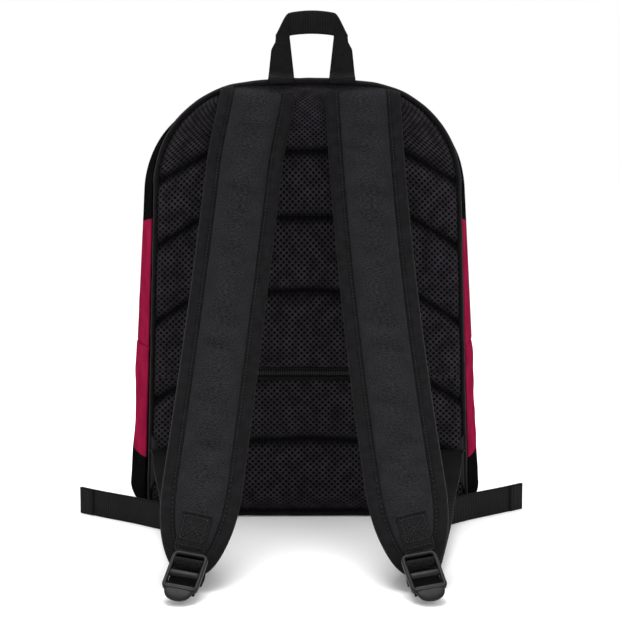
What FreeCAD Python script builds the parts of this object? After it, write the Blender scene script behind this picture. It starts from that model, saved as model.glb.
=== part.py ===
import FreeCAD, Part
import math
import os
import re

import Sketcher

# Travel backpack standing on its base: millimetres, +Z up, origin at the centre of the base.
# The wearer's side (back panel and shoulder straps) faces -Y, the front pocket faces +Y.

SIZES = [
    # bag body
    ("bag_height", 420, "back panel, base to crown"),
    ("mid_height", 409, "height at mid depth, where the main zip runs"),
    ("front_height", 396, "height of the front panel"),
    ("bag_depth", 140, "back panel face to front pocket face"),
    ("pocket_depth", 25, "how far the front pocket stands out"),
    ("back_half_base", 155, "half width of the back panel near the base"),
    ("back_half_shoulder", 145.5, "half width of the back panel at the shoulders"),
    ("mid_half_base", 174, "half width of the bulging sides near the base"),
    ("mid_half_shoulder", 157, "half width of the sides at the shoulders"),
    ("front_half_base", 160, "half width of the front panel near the base"),
    ("front_half_shoulder", 148, "half width of the front panel at the shoulders"),
    ("crown_radius", 450, "radius of the crown"),
    ("shoulder_radius", 98, "radius of the shoulders"),
    ("corner_radius", 20, "radius of the base corners"),
    ("wall", 1.6, "printed cloth with its backing"),
    ("lining", 0.6, "lining cloth"),
    ("fold_height", 165, "where the main zip ends and the front folds down"),
    ("seam_gap", 0.3, "gap between bodies that move apart"),
    # padded back
    ("binding_width", 5, "seam binding round the back panel"),
    ("binding_depth", 6, "how far the binding wraps the seam"),
    ("pad_depth", 14, "air mesh and soft foam of the back"),
    ("board_depth", 5, "firm foam board behind the pad"),
    ("piping_width", 3, "piping round the front panel"),
    ("piping_depth", 2.5, "how far the piping stands out"),
    # hidden pocket in the padded back
    ("hidden_zip_height", 140, "centre of the hidden pocket's zip"),
    ("hidden_zip_half", 92, "half length of the hidden zip"),
    ("hidden_zip_width", 10, "width of the hidden zip with its tapes"),
    ("pouch_half", 105, "half width of the hidden pouch"),
    ("pouch_floor", 16, "height of the pouch's bottom"),
    ("pouch_skin", 0.8, "cloth of the pouch"),
    ("pouch_depth", 7, "pouch depth with its skins"),
    ("pouch_hem", 1, "pouch top below the upper edge of the hidden zip"),
    ("pouch_opening", 5, "how far the pouch's mouth is cut past its skins"),
    ("hidden_tape_sunk", 1, "hidden zip tapes below the face of the back"),
    ("hidden_tape_skin", 1, "thickness of the hidden zip tapes"),
    # laptop sleeve
    ("sleeve_height", 300, "top of the laptop sleeve"),
    ("sleeve_half", 138, "half width of the sleeve divider"),
    ("sleeve_thickness", 4, "padded divider"),
    ("sleeve_room", 28, "room for the laptop"),
    ("sleeve_binding", 8, "depth of the binding on the divider's top edge"),
    # zips
    ("tape_width", 11, "one zip tape from its coil"),
    ("coil_half", 2.4, "half width of a closed coil"),
    ("coil_rise", 1, "how far a coil stands proud"),
    ("tape_gap", 1, "between two closed tapes, under their coil"),
    ("zip_offset", 4, "main zip ahead of mid depth"),
    ("slider_length", 9, "slider along its zip"),
    ("slider_width", 7.6, "slider across its zip"),
    ("slider_height", 3.4, "slider body and bridge"),
    ("slider_clear", 0.7, "slider above its coil"),
    ("slider_easing", 0.8, "rounded edges of a slider"),
    ("slider_spacing", 16, "between the two main sliders, centre to centre"),
    ("pull_length", 22, "pull tab"),
    ("pull_width", 5, "pull tab width"),
    ("pull_thickness", 1.2, "pull tab thickness"),
    ("pull_gap", 0.6, "pull tab from its slider"),
    # front pocket
    ("pocket_half", 125, "half width of the front pocket"),
    ("pocket_floor", 14, "bottom of the front pocket"),
    ("pocket_top", 150, "top of the front pocket"),
    ("pocket_corner", 18, "corner radius of the front pocket"),
    ("pocket_zip_height", 136, "centre of the pocket zip"),
    ("pocket_zip_half", 108, "half length of the pocket zip"),
    ("pocket_tape_sunk", 0.4, "pocket zip tapes below the pocket's face"),
    ("pocket_tape_skin", 1, "thickness of the pocket zip tapes"),
    # haul loop
    ("web_width", 25.4, "webbing of the loop, the adjusters and their tails"),
    ("loop_thickness", 2, "doubled webbing of the haul loop"),
    ("loop_centre", 4, "haul loop off the middle"),
    ("loop_rise", 62, "haul loop above the crown"),
    ("loop_half_base", 41.2, "half span of the loop where it is sewn"),
    ("loop_half_top", 19, "half length of the loop's top edge"),
    ("loop_start", 1.5, "loop hinge line above the crown"),
    ("loop_knee", 23.56, "how high the legs run before they turn in"),
    ("loop_knee_in", 4, "how far each leg has leaned in by then"),
    ("loop_corner", 5, "height of the folded corner"),
    ("loop_corner_in", 6, "width of the folded corner"),
    ("loop_hem", 0.4, "extra width of a leg where it is sewn"),
    ("loop_window", 1.5, "opening under the grip, wider each side than the grip's top edge"),
    # shoulder straps: side profile, from the seam down to the ladder lock
    ("strap_seam_height", 414, "where the straps leave the seam"),
    ("strap_seam_out", 1.6, "strap hinge line in front of the back panel"),
    ("strap_top_angle", 16, "strap from vertical at the seam"),
    ("strap_low_angle", 45, "strap from vertical at its lower end"),
    ("strap_bend", 815, "radius of the strap's curve"),
    ("strap_straight", 47.5, "straight lower run of the strap"),
    ("strap_thickness", 12, "padded strap"),
    ("strap_mesh", 3, "mesh on the underside of the strap"),
    ("strap_flange", 2.4, "flat top of the strap, sewn into the seam"),
    ("strap_flange_drop", 2, "flat top below the strap's hinge line, and over the pad"),
    ("strap_pad_drop", 16, "pad below the strap's hinge line"),
    ("strap_top_width", 68, "strap width at the top"),
    ("strap_low_width", 64, "strap width at its lower end"),
    ("strap_binding", 3, "edge binding of the strap"),
    ("strap_mid_height", 235, "height where the strap's set is measured"),
    ("strap_low_height", 28, "height of the strap's lower end"),
    ("strap_past", 20, "how far a strap's outline is drawn past both its ends"),
    ("left_strap_top", 50, "strap centre off the middle at the seam"),
    ("left_strap_mid", 70, "the same at mid height"),
    ("left_strap_low", 94, "the same at the lower end"),
    ("right_strap_top", 51, "strap centre off the middle at the seam"),
    ("right_strap_mid", 64, "the same at mid height"),
    ("right_strap_low", 90, "the same at the lower end"),
    ("patch_width", 25, "webbing patch that holds the ladder lock"),
    ("patch_rise", 34.2, "top of the patch above the strap's lower end"),
    ("patch_thickness", 1.6, "patch webbing"),
    # ladder locks
    ("lock_width", 30, "ladder lock"),
    ("lock_length", 39, "ladder lock frame"),
    ("lock_thickness", 5, "ladder lock bars"),
    ("lock_bar", 6, "ladder lock end bars"),
    ("lock_mid_bar", 6, "ladder lock middle bar"),
    ("lock_rail", 2.2, "ladder lock side rails"),
    ("lock_tab_width", 24, "thumb tab"),
    ("lock_tab_length", 10, "thumb tab beyond the frame"),
    ("lock_tab_slope", 4, "how far each side of the thumb tab slants in"),
    ("lock_angle", 55, "ladder lock from vertical"),
    ("lock_roll", 13, "how far a lock turns outward in its own plane, with its strap"),
    ("lock_height", 32, "height of the lock's top bar"),
    ("lock_out", 253.5, "lock's top bar in front of the back panel"),
    # adjusting webbing and its free tail
    ("web_thickness", 1.5, "single webbing"),
    ("tab_top", 80, "top of the sewn triangle tab"),
    ("tab_bottom", 27, "bottom of the sewn triangle tab"),
    ("tab_reach", 8, "how far the triangle reaches in from the side seam"),
    ("tab_slope", 12.8, "height of the triangle's lower slant"),
    ("web_seam_out", 4, "adjusting webbing where it leaves the side seam, in front of the panel"),
    ("web_seam_height", 64, "adjusting webbing where it leaves the side seam"),
    ("web_seam_side", 136, "its centre off the middle there"),
    ("web_knee_out", 60, "where it reaches the floor's level, in front of the panel"),
    ("web_knee_height", 36, "its height there"),
    ("web_knee_side", 125, "its centre off the middle there"),
    ("web_end_out", 260, "its end inside the ladder lock"),
    ("web_end_height", 10, "height of that end"),
    ("web_end_side", 96, "centre of that end off the middle"),
    ("lead_start", 12, "start of the tail's flat run, behind the webbing's end"),
    ("lead_end_out", 84, "end of the tail's flat run, in front of the panel"),
    ("lead_drift", 10, "how far outward the flat run drifts"),
    ("left_tail_near_side", 112, "near end of the standing tail off the middle"),
    ("left_tail_near_out", 71.5, "the same in front of the panel"),
    ("left_tail_far_side", 220, "far end of the standing tail off the middle"),
    ("left_tail_far_out", -13, "the same in front of the panel"),
    ("right_tail_near_side", 108, "near end of the standing tail off the middle"),
    ("right_tail_near_out", 57.2, "the same in front of the panel"),
    ("right_tail_far_side", 210, "far end of the standing tail off the middle"),
    ("right_tail_far_out", -30, "the same in front of the panel"),
    ("floor_clear", 0.3, "webbing above the floor"),
    ("reach", 700, "longer than any part, for extrusions that are trimmed"),
]
NAMES = {alias for alias, number, note in SIZES}

doc = FreeCAD.newDocument("travel_backpack")
sheet = doc.addObject("Spreadsheet::Sheet", "Sizes")
for row, (alias, number, note) in enumerate(SIZES, start=1):
    sheet.set(f"A{row}", note)
    sheet.set(f"B{row}", str(number))
    sheet.setAlias(f"B{row}", alias)
doc.recompute()

NODES = []
FACING = {
    "front": FreeCAD.Rotation(FreeCAD.Vector(1, 0, 0), 90),
    "side": FreeCAD.Rotation(FreeCAD.Vector(1, 1, 1), 120),
    "plan": FreeCAD.Rotation(),
}


def formula(text):
    """The expression for a formula that names sizes of the sheet."""
    return re.sub(r"[a-z]\w*", lambda m: f"Sizes.{m.group()}" if m.group() in NAMES else m.group(), str(text))


def amount(text):
    """What a formula comes to now."""
    return float(sheet.evalExpression(formula(text)))


def bind(item, **sizes):
    for name, text in sizes.items():
        item.setExpression(name, formula(text))
    return item


def place(item, **axes):
    for axis, text in axes.items():
        item.setExpression(f".Placement.Base.{axis}", formula(text))
    return item


def node(label, item):
    """A finished sub-part: its Label names its file."""
    item.Label = label
    NODES.append(item)
    return item


# Derived places, as formulas over the sheet
BACK = "-bag_depth / 2"
MAIN_FRONT = "(bag_depth / 2 - pocket_depth)"
ZIP_Y = "zip_offset"
PAD_BACK = f"({BACK} + pad_depth)"
BOARD_BACK = f"({PAD_BACK} + board_depth)"
LOWER_TOP = "(fold_height - seam_gap / 2)"
UPPER_START = "(fold_height + seam_gap / 2)"
FLAP_START = f"({ZIP_Y} + seam_gap / 2)"
REAR_END = f"({ZIP_Y} - seam_gap / 2)"


def out_from_back(distance):
    """Y of a place that stands a distance in front of the wearer's side."""
    return f"({BACK} - ({distance}))"


def block(name, x, y, z):
    """A box between two formulas on each axis."""
    box = doc.addObject("Part::Box", name)
    bind(box, Length=f"({x[1]}) - ({x[0]})", Width=f"({y[1]}) - ({y[0]})", Height=f"({z[1]}) - ({z[0]})")
    return place(box, x=x[0], y=y[0], z=z[0])


def wide(name, y, z):
    return block(name, ("-reach / 2", "reach / 2"), y, z)


def joined(kind, name, first, second):
    item = doc.addObject(f"Part::{kind}", name)
    item.Base = first
    item.Tool = second
    return item


def common(name, first, second):
    return joined("Common", name, first, second)


def cut(name, first, second):
    return joined("Cut", name, first, second)


def blank_sketch(name, facing, y=None):
    sketch = doc.addObject("Sketcher::SketchObject", name)
    sketch.Placement = FreeCAD.Placement(FreeCAD.Vector(), FACING[facing])
    if y is not None:
        place(sketch, y=y)
    return sketch


def hold(sketch, kind, *args):
    """Adds a constraint whose last argument is a formula, and binds it to the sheet."""
    made = sketch.addConstraint(Sketcher.Constraint(kind, *args[:-1], amount(args[-1])))
    sketch.setExpression(f"Constraints[{made}]", formula(args[-1]))


def polygon(sketch, points):
    """A closed outline of straight edges through points given as pairs of formulas."""
    spots = [FreeCAD.Vector(amount(u), amount(v), 0) for u, v in points]
    start = sketch.GeometryCount
    count = len(points)
    for i in range(count):
        sketch.addGeometry(Part.LineSegment(spots[i], spots[(i + 1) % count]), False)
    for i in range(count):
        after = start + (i + 1) % count
        sketch.addConstraint(Sketcher.Constraint("Coincident", start + i, 2, after, 1))
        hold(sketch, "DistanceX", -1, 1, start + i, 1, points[i][0])
        hold(sketch, "DistanceY", -1, 1, start + i, 1, points[i][1])
    return sketch


def extrusion(name, sketch, direction, forward, backward="0"):
    item = doc.addObject("Part::Extrusion", name)
    item.Base = sketch
    item.DirMode = "Custom"
    item.Dir = FreeCAD.Vector(*direction)
    item.Solid = True
    return bind(item, LengthFwd=forward, LengthRev=backward)


def through_x(name, points):
    """A side profile (Y, Z) carried right across the bag."""
    return extrusion(name, polygon(blank_sketch(f"{name}_profile", "side"), points), (1, 0, 0), "reach", "reach")


def through_y(name, points):
    """A front outline (X, Z) carried right through."""
    return extrusion(name, polygon(blank_sketch(f"{name}_outline", "front"), points), (0, 1, 0), "reach", "reach")


def through_z(name, points):
    """A plan outline (X, Y) carried right through."""
    return extrusion(name, polygon(blank_sketch(f"{name}_plan", "plan"), points), (0, 0, 1), "reach", "reach")


# Bag body: every shell is a loft through three outlines, the same outlines drawn smaller for its inside


def bag_outline(name, y, height, half_base, half_shoulder, inset):
    """Crown, shoulders, slanting sides and base corners, all tangent, drawn in by inset."""
    sketch = blank_sketch(name, "front", y)
    crown = FreeCAD.Vector(0, amount(f"{height} - crown_radius"), 0)
    r_crown = amount(f"crown_radius - ({inset})")
    r_shoulder = amount(f"shoulder_radius - ({inset})")
    r_corner = amount(f"corner_radius - ({inset})")
    u = amount(f"{half_shoulder} - shoulder_radius")
    rise = (amount("crown_radius - shoulder_radius") ** 2 - u**2) ** 0.5
    shoulder = FreeCAD.Vector(u, crown.y + rise, 0)
    corner = FreeCAD.Vector(amount(f"{half_base} - corner_radius"), amount("corner_radius"), 0)
    axis = FreeCAD.Vector(0, 0, 1)
    run = shoulder - corner
    # outward normal of the side that touches the corner and the shoulder
    lean = (r_corner - r_shoulder) / run.Length
    along = FreeCAD.Vector(run).normalize()
    right = FreeCAD.Vector(along.y, -along.x, 0)
    normal = along * lean + right * (1 - lean**2) ** 0.5
    out = FreeCAD.Vector(shoulder - crown).normalize()
    low = corner + normal * r_corner
    high = shoulder + normal * r_shoulder
    top = crown + out * r_crown
    base = amount(inset)

    def mirror(p):
        return FreeCAD.Vector(-p.x, p.y, 0)

    def arc(centre, radius, first, last):
        start = (first - centre).getAngle(FreeCAD.Vector(1, 0, 0))
        end = (last - centre).getAngle(FreeCAD.Vector(1, 0, 0))
        start = start if first.y >= centre.y else -start
        end = end if last.y >= centre.y else -end
        return Part.ArcOfCircle(Part.Circle(centre, axis, radius), start, end)

    foot = FreeCAD.Vector(corner.x, base, 0)
    pieces = [
        Part.LineSegment(mirror(foot), foot),
        arc(corner, r_corner, foot, low),
        Part.LineSegment(low, high),
        arc(shoulder, r_shoulder, high, top),
        arc(crown, r_crown, top, mirror(top)),
        arc(mirror(shoulder), r_shoulder, mirror(top), mirror(high)),
        Part.LineSegment(mirror(high), mirror(low)),
        arc(mirror(corner), r_corner, mirror(low), mirror(foot)),
    ]
    for piece in pieces:
        sketch.addGeometry(piece, False)
    for i in range(len(pieces)):
        sketch.addConstraint(Sketcher.Constraint("Tangent", i, 2, (i + 1) % len(pieces), 1))
    sketch.addConstraint(Sketcher.Constraint("Symmetric", 0, 1, 0, 2, -2))
    hold(sketch, "DistanceY", -1, 1, 0, 2, inset)
    for i in (1, 7):
        hold(sketch, "Radius", i, f"corner_radius - ({inset})")
    for i in (3, 5):
        hold(sketch, "Radius", i, f"shoulder_radius - ({inset})")
    hold(sketch, "Radius", 4, f"crown_radius - ({inset})")
    sketch.addConstraint(Sketcher.Constraint("PointOnObject", 4, 3, -2))
    hold(sketch, "DistanceY", -1, 1, 4, 3, f"{height} - crown_radius")
    hold(sketch, "DistanceX", -1, 1, 1, 3, f"{half_base} - corner_radius")
    hold(sketch, "DistanceX", -1, 1, 3, 3, f"{half_shoulder} - shoulder_radius")
    hold(sketch, "DistanceX", 5, 3, -1, 1, f"{half_shoulder} - shoulder_radius")
    return sketch


def bag_loft(name, inset):
    sections = [
        bag_outline(f"{name}_back", BACK, "bag_height", "back_half_base", "back_half_shoulder", inset),
        bag_outline(f"{name}_mid", "0", "mid_height", "mid_half_base", "mid_half_shoulder", inset),
        bag_outline(f"{name}_front", MAIN_FRONT, "front_height", "front_half_base", "front_half_shoulder", inset),
    ]
    loft = doc.addObject("Part::Loft", name)
    loft.Sections = sections
    loft.Solid = True
    loft.Ruled = True
    return loft


outside = bag_loft("outside", "0")
inside = bag_loft("inside", "wall")
proud = bag_loft("proud", "-coil_rise")
lined = bag_loft("lined", "wall + lining")
skin = cut("skin", outside, inside)
coil_skin = cut("coil_skin", proud, outside)

BODY_BACK = f"({BACK} + binding_depth)"
PANEL_BACK = f"({MAIN_FRONT} - wall)"
REAR_TAPE = f"({ZIP_Y} - tape_width)"
FRONT_TAPE = f"({ZIP_Y} + tape_width)"
# the flat of the base is one panel; the side gussets turn the corners and meet it
FOOT = "(back_half_base - corner_radius)"
node("base_panel", block("base_panel", (f"-{FOOT}", FOOT), (BODY_BACK, PANEL_BACK), ("0", "wall")))
for hand, span in (("left", ("-reach / 2", f"-{FOOT}")), ("right", (FOOT, "reach / 2"))):
    zone = block(f"side_zone_{hand}", span, (BODY_BACK, PANEL_BACK), ("-wall", LOWER_TOP))
    node(f"side_gusset_{hand}", common(f"side_gusset_{hand}", skin, zone))


def arch(label, shell, y, start):
    """The part of a shell that runs over the crown above the fold."""
    return node(label, common(label, shell, wide(f"{label}_zone", y, (start, "reach"))))


arch("rear_arch_gusset", skin, (BODY_BACK, REAR_TAPE), LOWER_TOP)
arch("rear_zip_tape", skin, (REAR_TAPE, REAR_END), LOWER_TOP)
arch("rear_zip_coil", coil_skin, (f"{ZIP_Y} - coil_half", REAR_END), LOWER_TOP)
arch("front_zip_tape", skin, (FLAP_START, FRONT_TAPE), UPPER_START)
arch("front_zip_coil", coil_skin, (FLAP_START, f"{ZIP_Y} + coil_half"), UPPER_START)
arch("front_arch_gusset", skin, (FRONT_TAPE, PANEL_BACK), UPPER_START)

# Front panel, in two parts that fold at the end of the main zip
EVERY_HEIGHT = ("-reach", "reach")
panel_sheet = common("panel_sheet", outside, wide("panel_zone", (PANEL_BACK, MAIN_FRONT), EVERY_HEIGHT))
LOWER = ("-reach", LOWER_TOP)
UPPER = (UPPER_START, "reach")
FRONT_HALF = ("0", "reach")
node("front_panel_lower", common("front_panel_lower", panel_sheet, wide("lower_zone", FRONT_HALF, LOWER)))
node("front_panel_upper", common("front_panel_upper", panel_sheet, wide("upper_zone", FRONT_HALF, UPPER)))


def front_ring(name, inset):
    outline = bag_outline(f"{name}_line", MAIN_FRONT, "front_height", "front_half_base", "front_half_shoulder", inset)
    return extrusion(name, outline, (0, 1, 0), "piping_depth")


piping = cut("piping", front_ring("piping_outer", "0"), front_ring("piping_inner", "piping_width"))
node("front_piping_lower", common("front_piping_lower", piping, wide("piping_low_zone", FRONT_HALF, LOWER)))
node("front_piping_upper", common("front_piping_upper", piping, wide("piping_up_zone", FRONT_HALF, UPPER)))

# Lining: a cup inside the walls, closed at the front, in three pieces
LINING_BACK = f"({BOARD_BACK} + lining)"
cup_out = common("cup_out", inside, wide("cup_out_zone", (LINING_BACK, PANEL_BACK), EVERY_HEIGHT))
cup_in = common("cup_in", lined, wide("cup_in_zone", (BACK, f"{PANEL_BACK} - lining"), EVERY_HEIGHT))
cup = cut("cup", cup_out, cup_in)
node("lining_lower", common("lining_lower", cup, wide("lining_low_zone", (BACK, MAIN_FRONT), LOWER)))
node("lining_rear", common("lining_rear", cup, wide("lining_rear_zone", (BACK, REAR_END), (LOWER_TOP, "reach"))))
node("lining_flap", common("lining_flap", cup, wide("lining_flap_zone", (FLAP_START, MAIN_FRONT), UPPER)))

# Padded back: air-mesh pads and firm board inside a bound seam
def back_slab(name, inset, depth):
    outline = bag_outline(f"{name}_line", BACK, "bag_height", "back_half_base", "back_half_shoulder", inset)
    return extrusion(name, outline, (0, 1, 0), depth)


binding_outer = back_slab("binding_outer", "0", "binding_depth")
binding_inner = back_slab("binding_inner", "binding_width", "reach")
node("back_edge_binding", cut("back_edge_binding", binding_outer, binding_inner))
whole_pad = back_slab("whole_pad", "binding_width", "pad_depth")
pad_and_board = back_slab("pad_and_board", "binding_width", "pad_depth + board_depth")
board_zone = wide("board_zone", (PAD_BACK, BOARD_BACK), EVERY_HEIGHT)
node("back_foam_board", common("back_foam_board", pad_and_board, board_zone))
sheet_zone = wide("sheet_zone", (BOARD_BACK, LINING_BACK), EVERY_HEIGHT)
node("back_lining", common("back_lining", cup_in, sheet_zone))

ZIP_LOW = "(hidden_zip_height - hidden_zip_width / 2)"
ZIP_HIGH = "(hidden_zip_height + hidden_zip_width / 2)"
ALL_DEPTH = ("-reach", "reach")
upper_pad = common("upper_pad", whole_pad, wide("upper_pad_zone", ALL_DEPTH, (ZIP_HIGH, "reach")))
node("back_mesh_upper", upper_pad)
POUCH_TOP = f"({ZIP_HIGH} - pouch_hem)"
POUCH_FRONT = f"({PAD_BACK} - pouch_depth)"
lower_pad = common("lower_pad", whole_pad, wide("lower_pad_zone", ALL_DEPTH, ("-reach", ZIP_HIGH)))
zip_room = block("zip_room", ("-hidden_zip_half", "hidden_zip_half"), ALL_DEPTH, (ZIP_LOW, ZIP_HIGH))
pouch_room = block(
    "pouch_room",
    ("-pouch_half - seam_gap", "pouch_half + seam_gap"),
    (f"{POUCH_FRONT} - seam_gap", f"{PAD_BACK} + seam_gap"),
    ("pouch_floor - seam_gap", "reach"),
)
node("back_mesh_lower", cut("back_mesh_lower", cut("pad_with_slot", lower_pad, zip_room), pouch_room))
pouch_out = block("pouch_out", ("-pouch_half", "pouch_half"), (POUCH_FRONT, PAD_BACK), ("pouch_floor", POUCH_TOP))
pouch_space = block(
    "pouch_space",
    ("-pouch_half + pouch_skin", "pouch_half - pouch_skin"),
    (f"{POUCH_FRONT} + pouch_skin", f"{PAD_BACK} - pouch_skin"),
    ("pouch_floor + pouch_skin", f"{POUCH_TOP} + pouch_opening"),
)
pouch_mouth = block(
    "pouch_mouth",
    ("-pouch_half + pouch_skin", "pouch_half - pouch_skin"),
    (f"{POUCH_FRONT} - pouch_opening", f"{POUCH_FRONT} + pouch_skin + seam_gap"),
    (ZIP_LOW, f"{POUCH_TOP} + pouch_opening"),
)
node("hidden_pocket_pouch", cut("hidden_pocket_pouch", cut("pouch_cup", pouch_out, pouch_space), pouch_mouth))

TAPE_IN = f"({BACK} + hidden_tape_sunk)"


def hidden_strip(name, z, y, half):
    return block(name, (f"-({half})", half), y, z)


hidden_pair = doc.addObject("Part::Fuse", "hidden_zip_tape")
TAPE_Y = (TAPE_IN, f"{TAPE_IN} + hidden_tape_skin")
hidden_pair.Base = hidden_strip("hidden_tape_low", (ZIP_LOW, "hidden_zip_height - tape_gap / 2"), TAPE_Y, "hidden_zip_half")
hidden_pair.Tool = hidden_strip("hidden_tape_high", ("hidden_zip_height + tape_gap / 2", ZIP_HIGH), TAPE_Y, "hidden_zip_half")
node("hidden_zip_tape", hidden_pair)
COIL_Y = (f"{TAPE_IN} - coil_rise", TAPE_IN)
COIL_Z = ("hidden_zip_height - coil_half", "hidden_zip_height + coil_half")
node("hidden_zip_coil", hidden_strip("hidden_zip_coil", COIL_Z, COIL_Y, "hidden_zip_half"))

# Laptop sleeve: a padded divider between the sides, with a bound top edge
SLEEVE_BACK = f"({LINING_BACK} + sleeve_room)"
SLEEVE_Y = (SLEEVE_BACK, f"{SLEEVE_BACK} + sleeve_thickness")
SLEEVE_X = ("-sleeve_half", "sleeve_half")
SLEEVE_EDGE = "sleeve_height - sleeve_binding"
sleeve = block("laptop_sleeve", SLEEVE_X, SLEEVE_Y, ("wall + lining + seam_gap", SLEEVE_EDGE))
node("laptop_sleeve", sleeve)
node("sleeve_edge_binding", block("sleeve_edge_binding", SLEEVE_X, SLEEVE_Y, (SLEEVE_EDGE, "sleeve_height")))

# Front pocket: an open-backed tray of cloth with a zip across its face


def rounded_plate(label, y, depth, inset):
    """A body padded from one rounded rectangle, from y forward by depth."""
    body = doc.addObject("PartDesign::Body", label)
    sketch = body.newObject("Sketcher::SketchObject", f"{label}_sketch")
    plane = next(f for f in body.Origin.OriginFeatures if f.Role == "XZ_Plane")
    sketch.AttachmentSupport = [(plane, "")]
    sketch.MapMode = "FlatFace"
    half, low, high = f"pocket_half - {inset}", f"pocket_floor + {inset}", f"pocket_top - {inset}"
    polygon(sketch, [(f"-({half})", low), (half, low), (half, high), (f"-({half})", high)])
    doc.recompute()
    pad = body.newObject("PartDesign::Pad", f"{label}_pad")
    pad.Profile = sketch
    pad.Reversed = True
    bind(pad, Length=depth)
    doc.recompute()
    corners = [
        f"Edge{i}"
        for i, edge in enumerate(pad.Shape.Edges, start=1)
        if abs(edge.tangentAt(edge.FirstParameter).y) > 0.99
    ]
    fillet = body.newObject("PartDesign::Fillet", f"{label}_corners")
    fillet.Base = (pad, corners)
    bind(fillet, Radius=f"pocket_corner - {inset}")
    return place(body, y=y)


POCKET_FACE = "(bag_depth / 2)"
tray = cut(
    "pocket_tray",
    rounded_plate("pocket_outer", MAIN_FRONT, "pocket_depth", "0"),
    rounded_plate("pocket_inner", f"{MAIN_FRONT} - wall", "pocket_depth", "wall"),
)
SLOT_Z = ("pocket_zip_height - hidden_zip_width / 2", "pocket_zip_height + hidden_zip_width / 2")
SLOT_X = ("-pocket_zip_half", "pocket_zip_half")
slot = block("pocket_slot", SLOT_X, (f"{POCKET_FACE} - wall - seam_gap", f"{POCKET_FACE} + seam_gap"), SLOT_Z)
node("front_pocket_panel", cut("front_pocket_panel", tray, slot))
TAPE_FACE = f"({POCKET_FACE} - pocket_tape_sunk)"
FACE_TAPE = (f"{TAPE_FACE} - pocket_tape_skin", TAPE_FACE)
pocket_tapes = doc.addObject("Part::Fuse", "front_pocket_zip_tape")
pocket_tapes.Base = block("pocket_tape_low", SLOT_X, FACE_TAPE, (SLOT_Z[0], "pocket_zip_height - tape_gap / 2"))
pocket_tapes.Tool = block("pocket_tape_high", SLOT_X, FACE_TAPE, ("pocket_zip_height + tape_gap / 2", SLOT_Z[1]))
node("front_pocket_zip_tape", pocket_tapes)
POCKET_COIL_Z = ("pocket_zip_height - coil_half", "pocket_zip_height + coil_half")
POCKET_COIL_Y = (TAPE_FACE, f"{TAPE_FACE} + coil_rise")
node("front_pocket_zip_coil", block("front_pocket_zip_coil", SLOT_X, POCKET_COIL_Y, POCKET_COIL_Z))

# Sliders and pull tabs. A slider is a low block over its coil; its pull hinges on the bridge.


def slider(label, x, y, z):
    """A slider between two formulas on each axis, its edges eased."""
    body = block(f"{label}_block", x, y, z)
    doc.recompute()
    eased = doc.addObject("Part::Fillet", label)
    eased.Base = body
    radius = amount("slider_easing")
    eased.Edges = [(i, radius, radius) for i, edge in enumerate(body.Shape.Edges, start=1)]
    return node(label, eased)


CROWN_TOP = "(mid_height + coil_rise + slider_clear)"
for hand, sign in (("left", "-1"), ("right", "1")):
    middle = f"({sign} * slider_spacing / 2)"
    across = (f"{middle} - slider_length / 2", f"{middle} + slider_length / 2")
    deep = (f"{ZIP_Y} - slider_width / 2", f"{ZIP_Y} + slider_width / 2")
    slider(f"main_slider_{hand}", across, deep, (CROWN_TOP, f"{CROWN_TOP} + slider_height"))
    across = (f"{middle} - pull_width / 2", f"{middle} + pull_width / 2")
    behind = (f"{deep[0]} - pull_gap - pull_length", f"{deep[0]} - pull_gap")
    lift = f"({CROWN_TOP} + slider_height - pull_thickness)"
    node(f"main_pull_{hand}", block(f"main_pull_{hand}", across, behind, (lift, f"{lift} + pull_thickness")))

POCKET_SLIDER_X = "(-pocket_zip_half + slider_length)"
POCKET_SLIDER_Y = f"({TAPE_FACE} + coil_rise + slider_clear)"
across = (f"{POCKET_SLIDER_X} - slider_length / 2", f"{POCKET_SLIDER_X} + slider_length / 2")
high = ("pocket_zip_height - slider_width / 2", "pocket_zip_height + slider_width / 2")
slider("pocket_slider", across, (POCKET_SLIDER_Y, f"{POCKET_SLIDER_Y} + slider_height"), high)
across = (f"{POCKET_SLIDER_X} - pull_width / 2", f"{POCKET_SLIDER_X} + pull_width / 2")
hang = (f"{high[0]} - pull_gap - pull_length", f"{high[0]} - pull_gap")
outer = f"({POCKET_SLIDER_Y} + slider_height)"
node("pocket_pull", block("pocket_pull", across, (f"{outer} - pull_thickness", outer), hang))

HIDDEN_SLIDER_X = "(-hidden_zip_half + slider_length)"
HIDDEN_FACE = f"({TAPE_IN} - coil_rise - slider_clear)"
across = (f"{HIDDEN_SLIDER_X} - slider_length / 2", f"{HIDDEN_SLIDER_X} + slider_length / 2")
high = ("hidden_zip_height - slider_width / 2", "hidden_zip_height + slider_width / 2")
slider("hidden_slider", across, (f"{HIDDEN_FACE} - slider_height", HIDDEN_FACE), high)
across = (f"{HIDDEN_SLIDER_X} - pull_width / 2", f"{HIDDEN_SLIDER_X} + pull_width / 2")
hang = (f"{high[0]} - pull_gap - pull_length", f"{high[0]} - pull_gap")
outer = f"({HIDDEN_FACE} - slider_height)"
node("hidden_pull", block("hidden_pull", across, (outer, f"{outer} + pull_thickness"), hang))

# Haul loop: one length of webbing folded into an upright arch
LOOP_Z = "(bag_height + loop_start)"
LOOP_TOP = "(bag_height + loop_rise)"
KNEE = f"({LOOP_Z} + loop_knee)"


def about_loop(half):
    return f"loop_centre + ({half})"


arch_half = [
    ("loop_half_base", LOOP_Z),
    ("loop_half_base - loop_knee_in", KNEE),
    ("loop_half_top", f"{LOOP_TOP} - loop_corner"),
    ("loop_half_top - loop_corner_in", LOOP_TOP),
]
hole_half = [
    ("loop_half_base - web_width - loop_hem", LOOP_Z),
    ("loop_half_top + loop_window", f"{LOOP_TOP} - web_width"),
]


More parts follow.
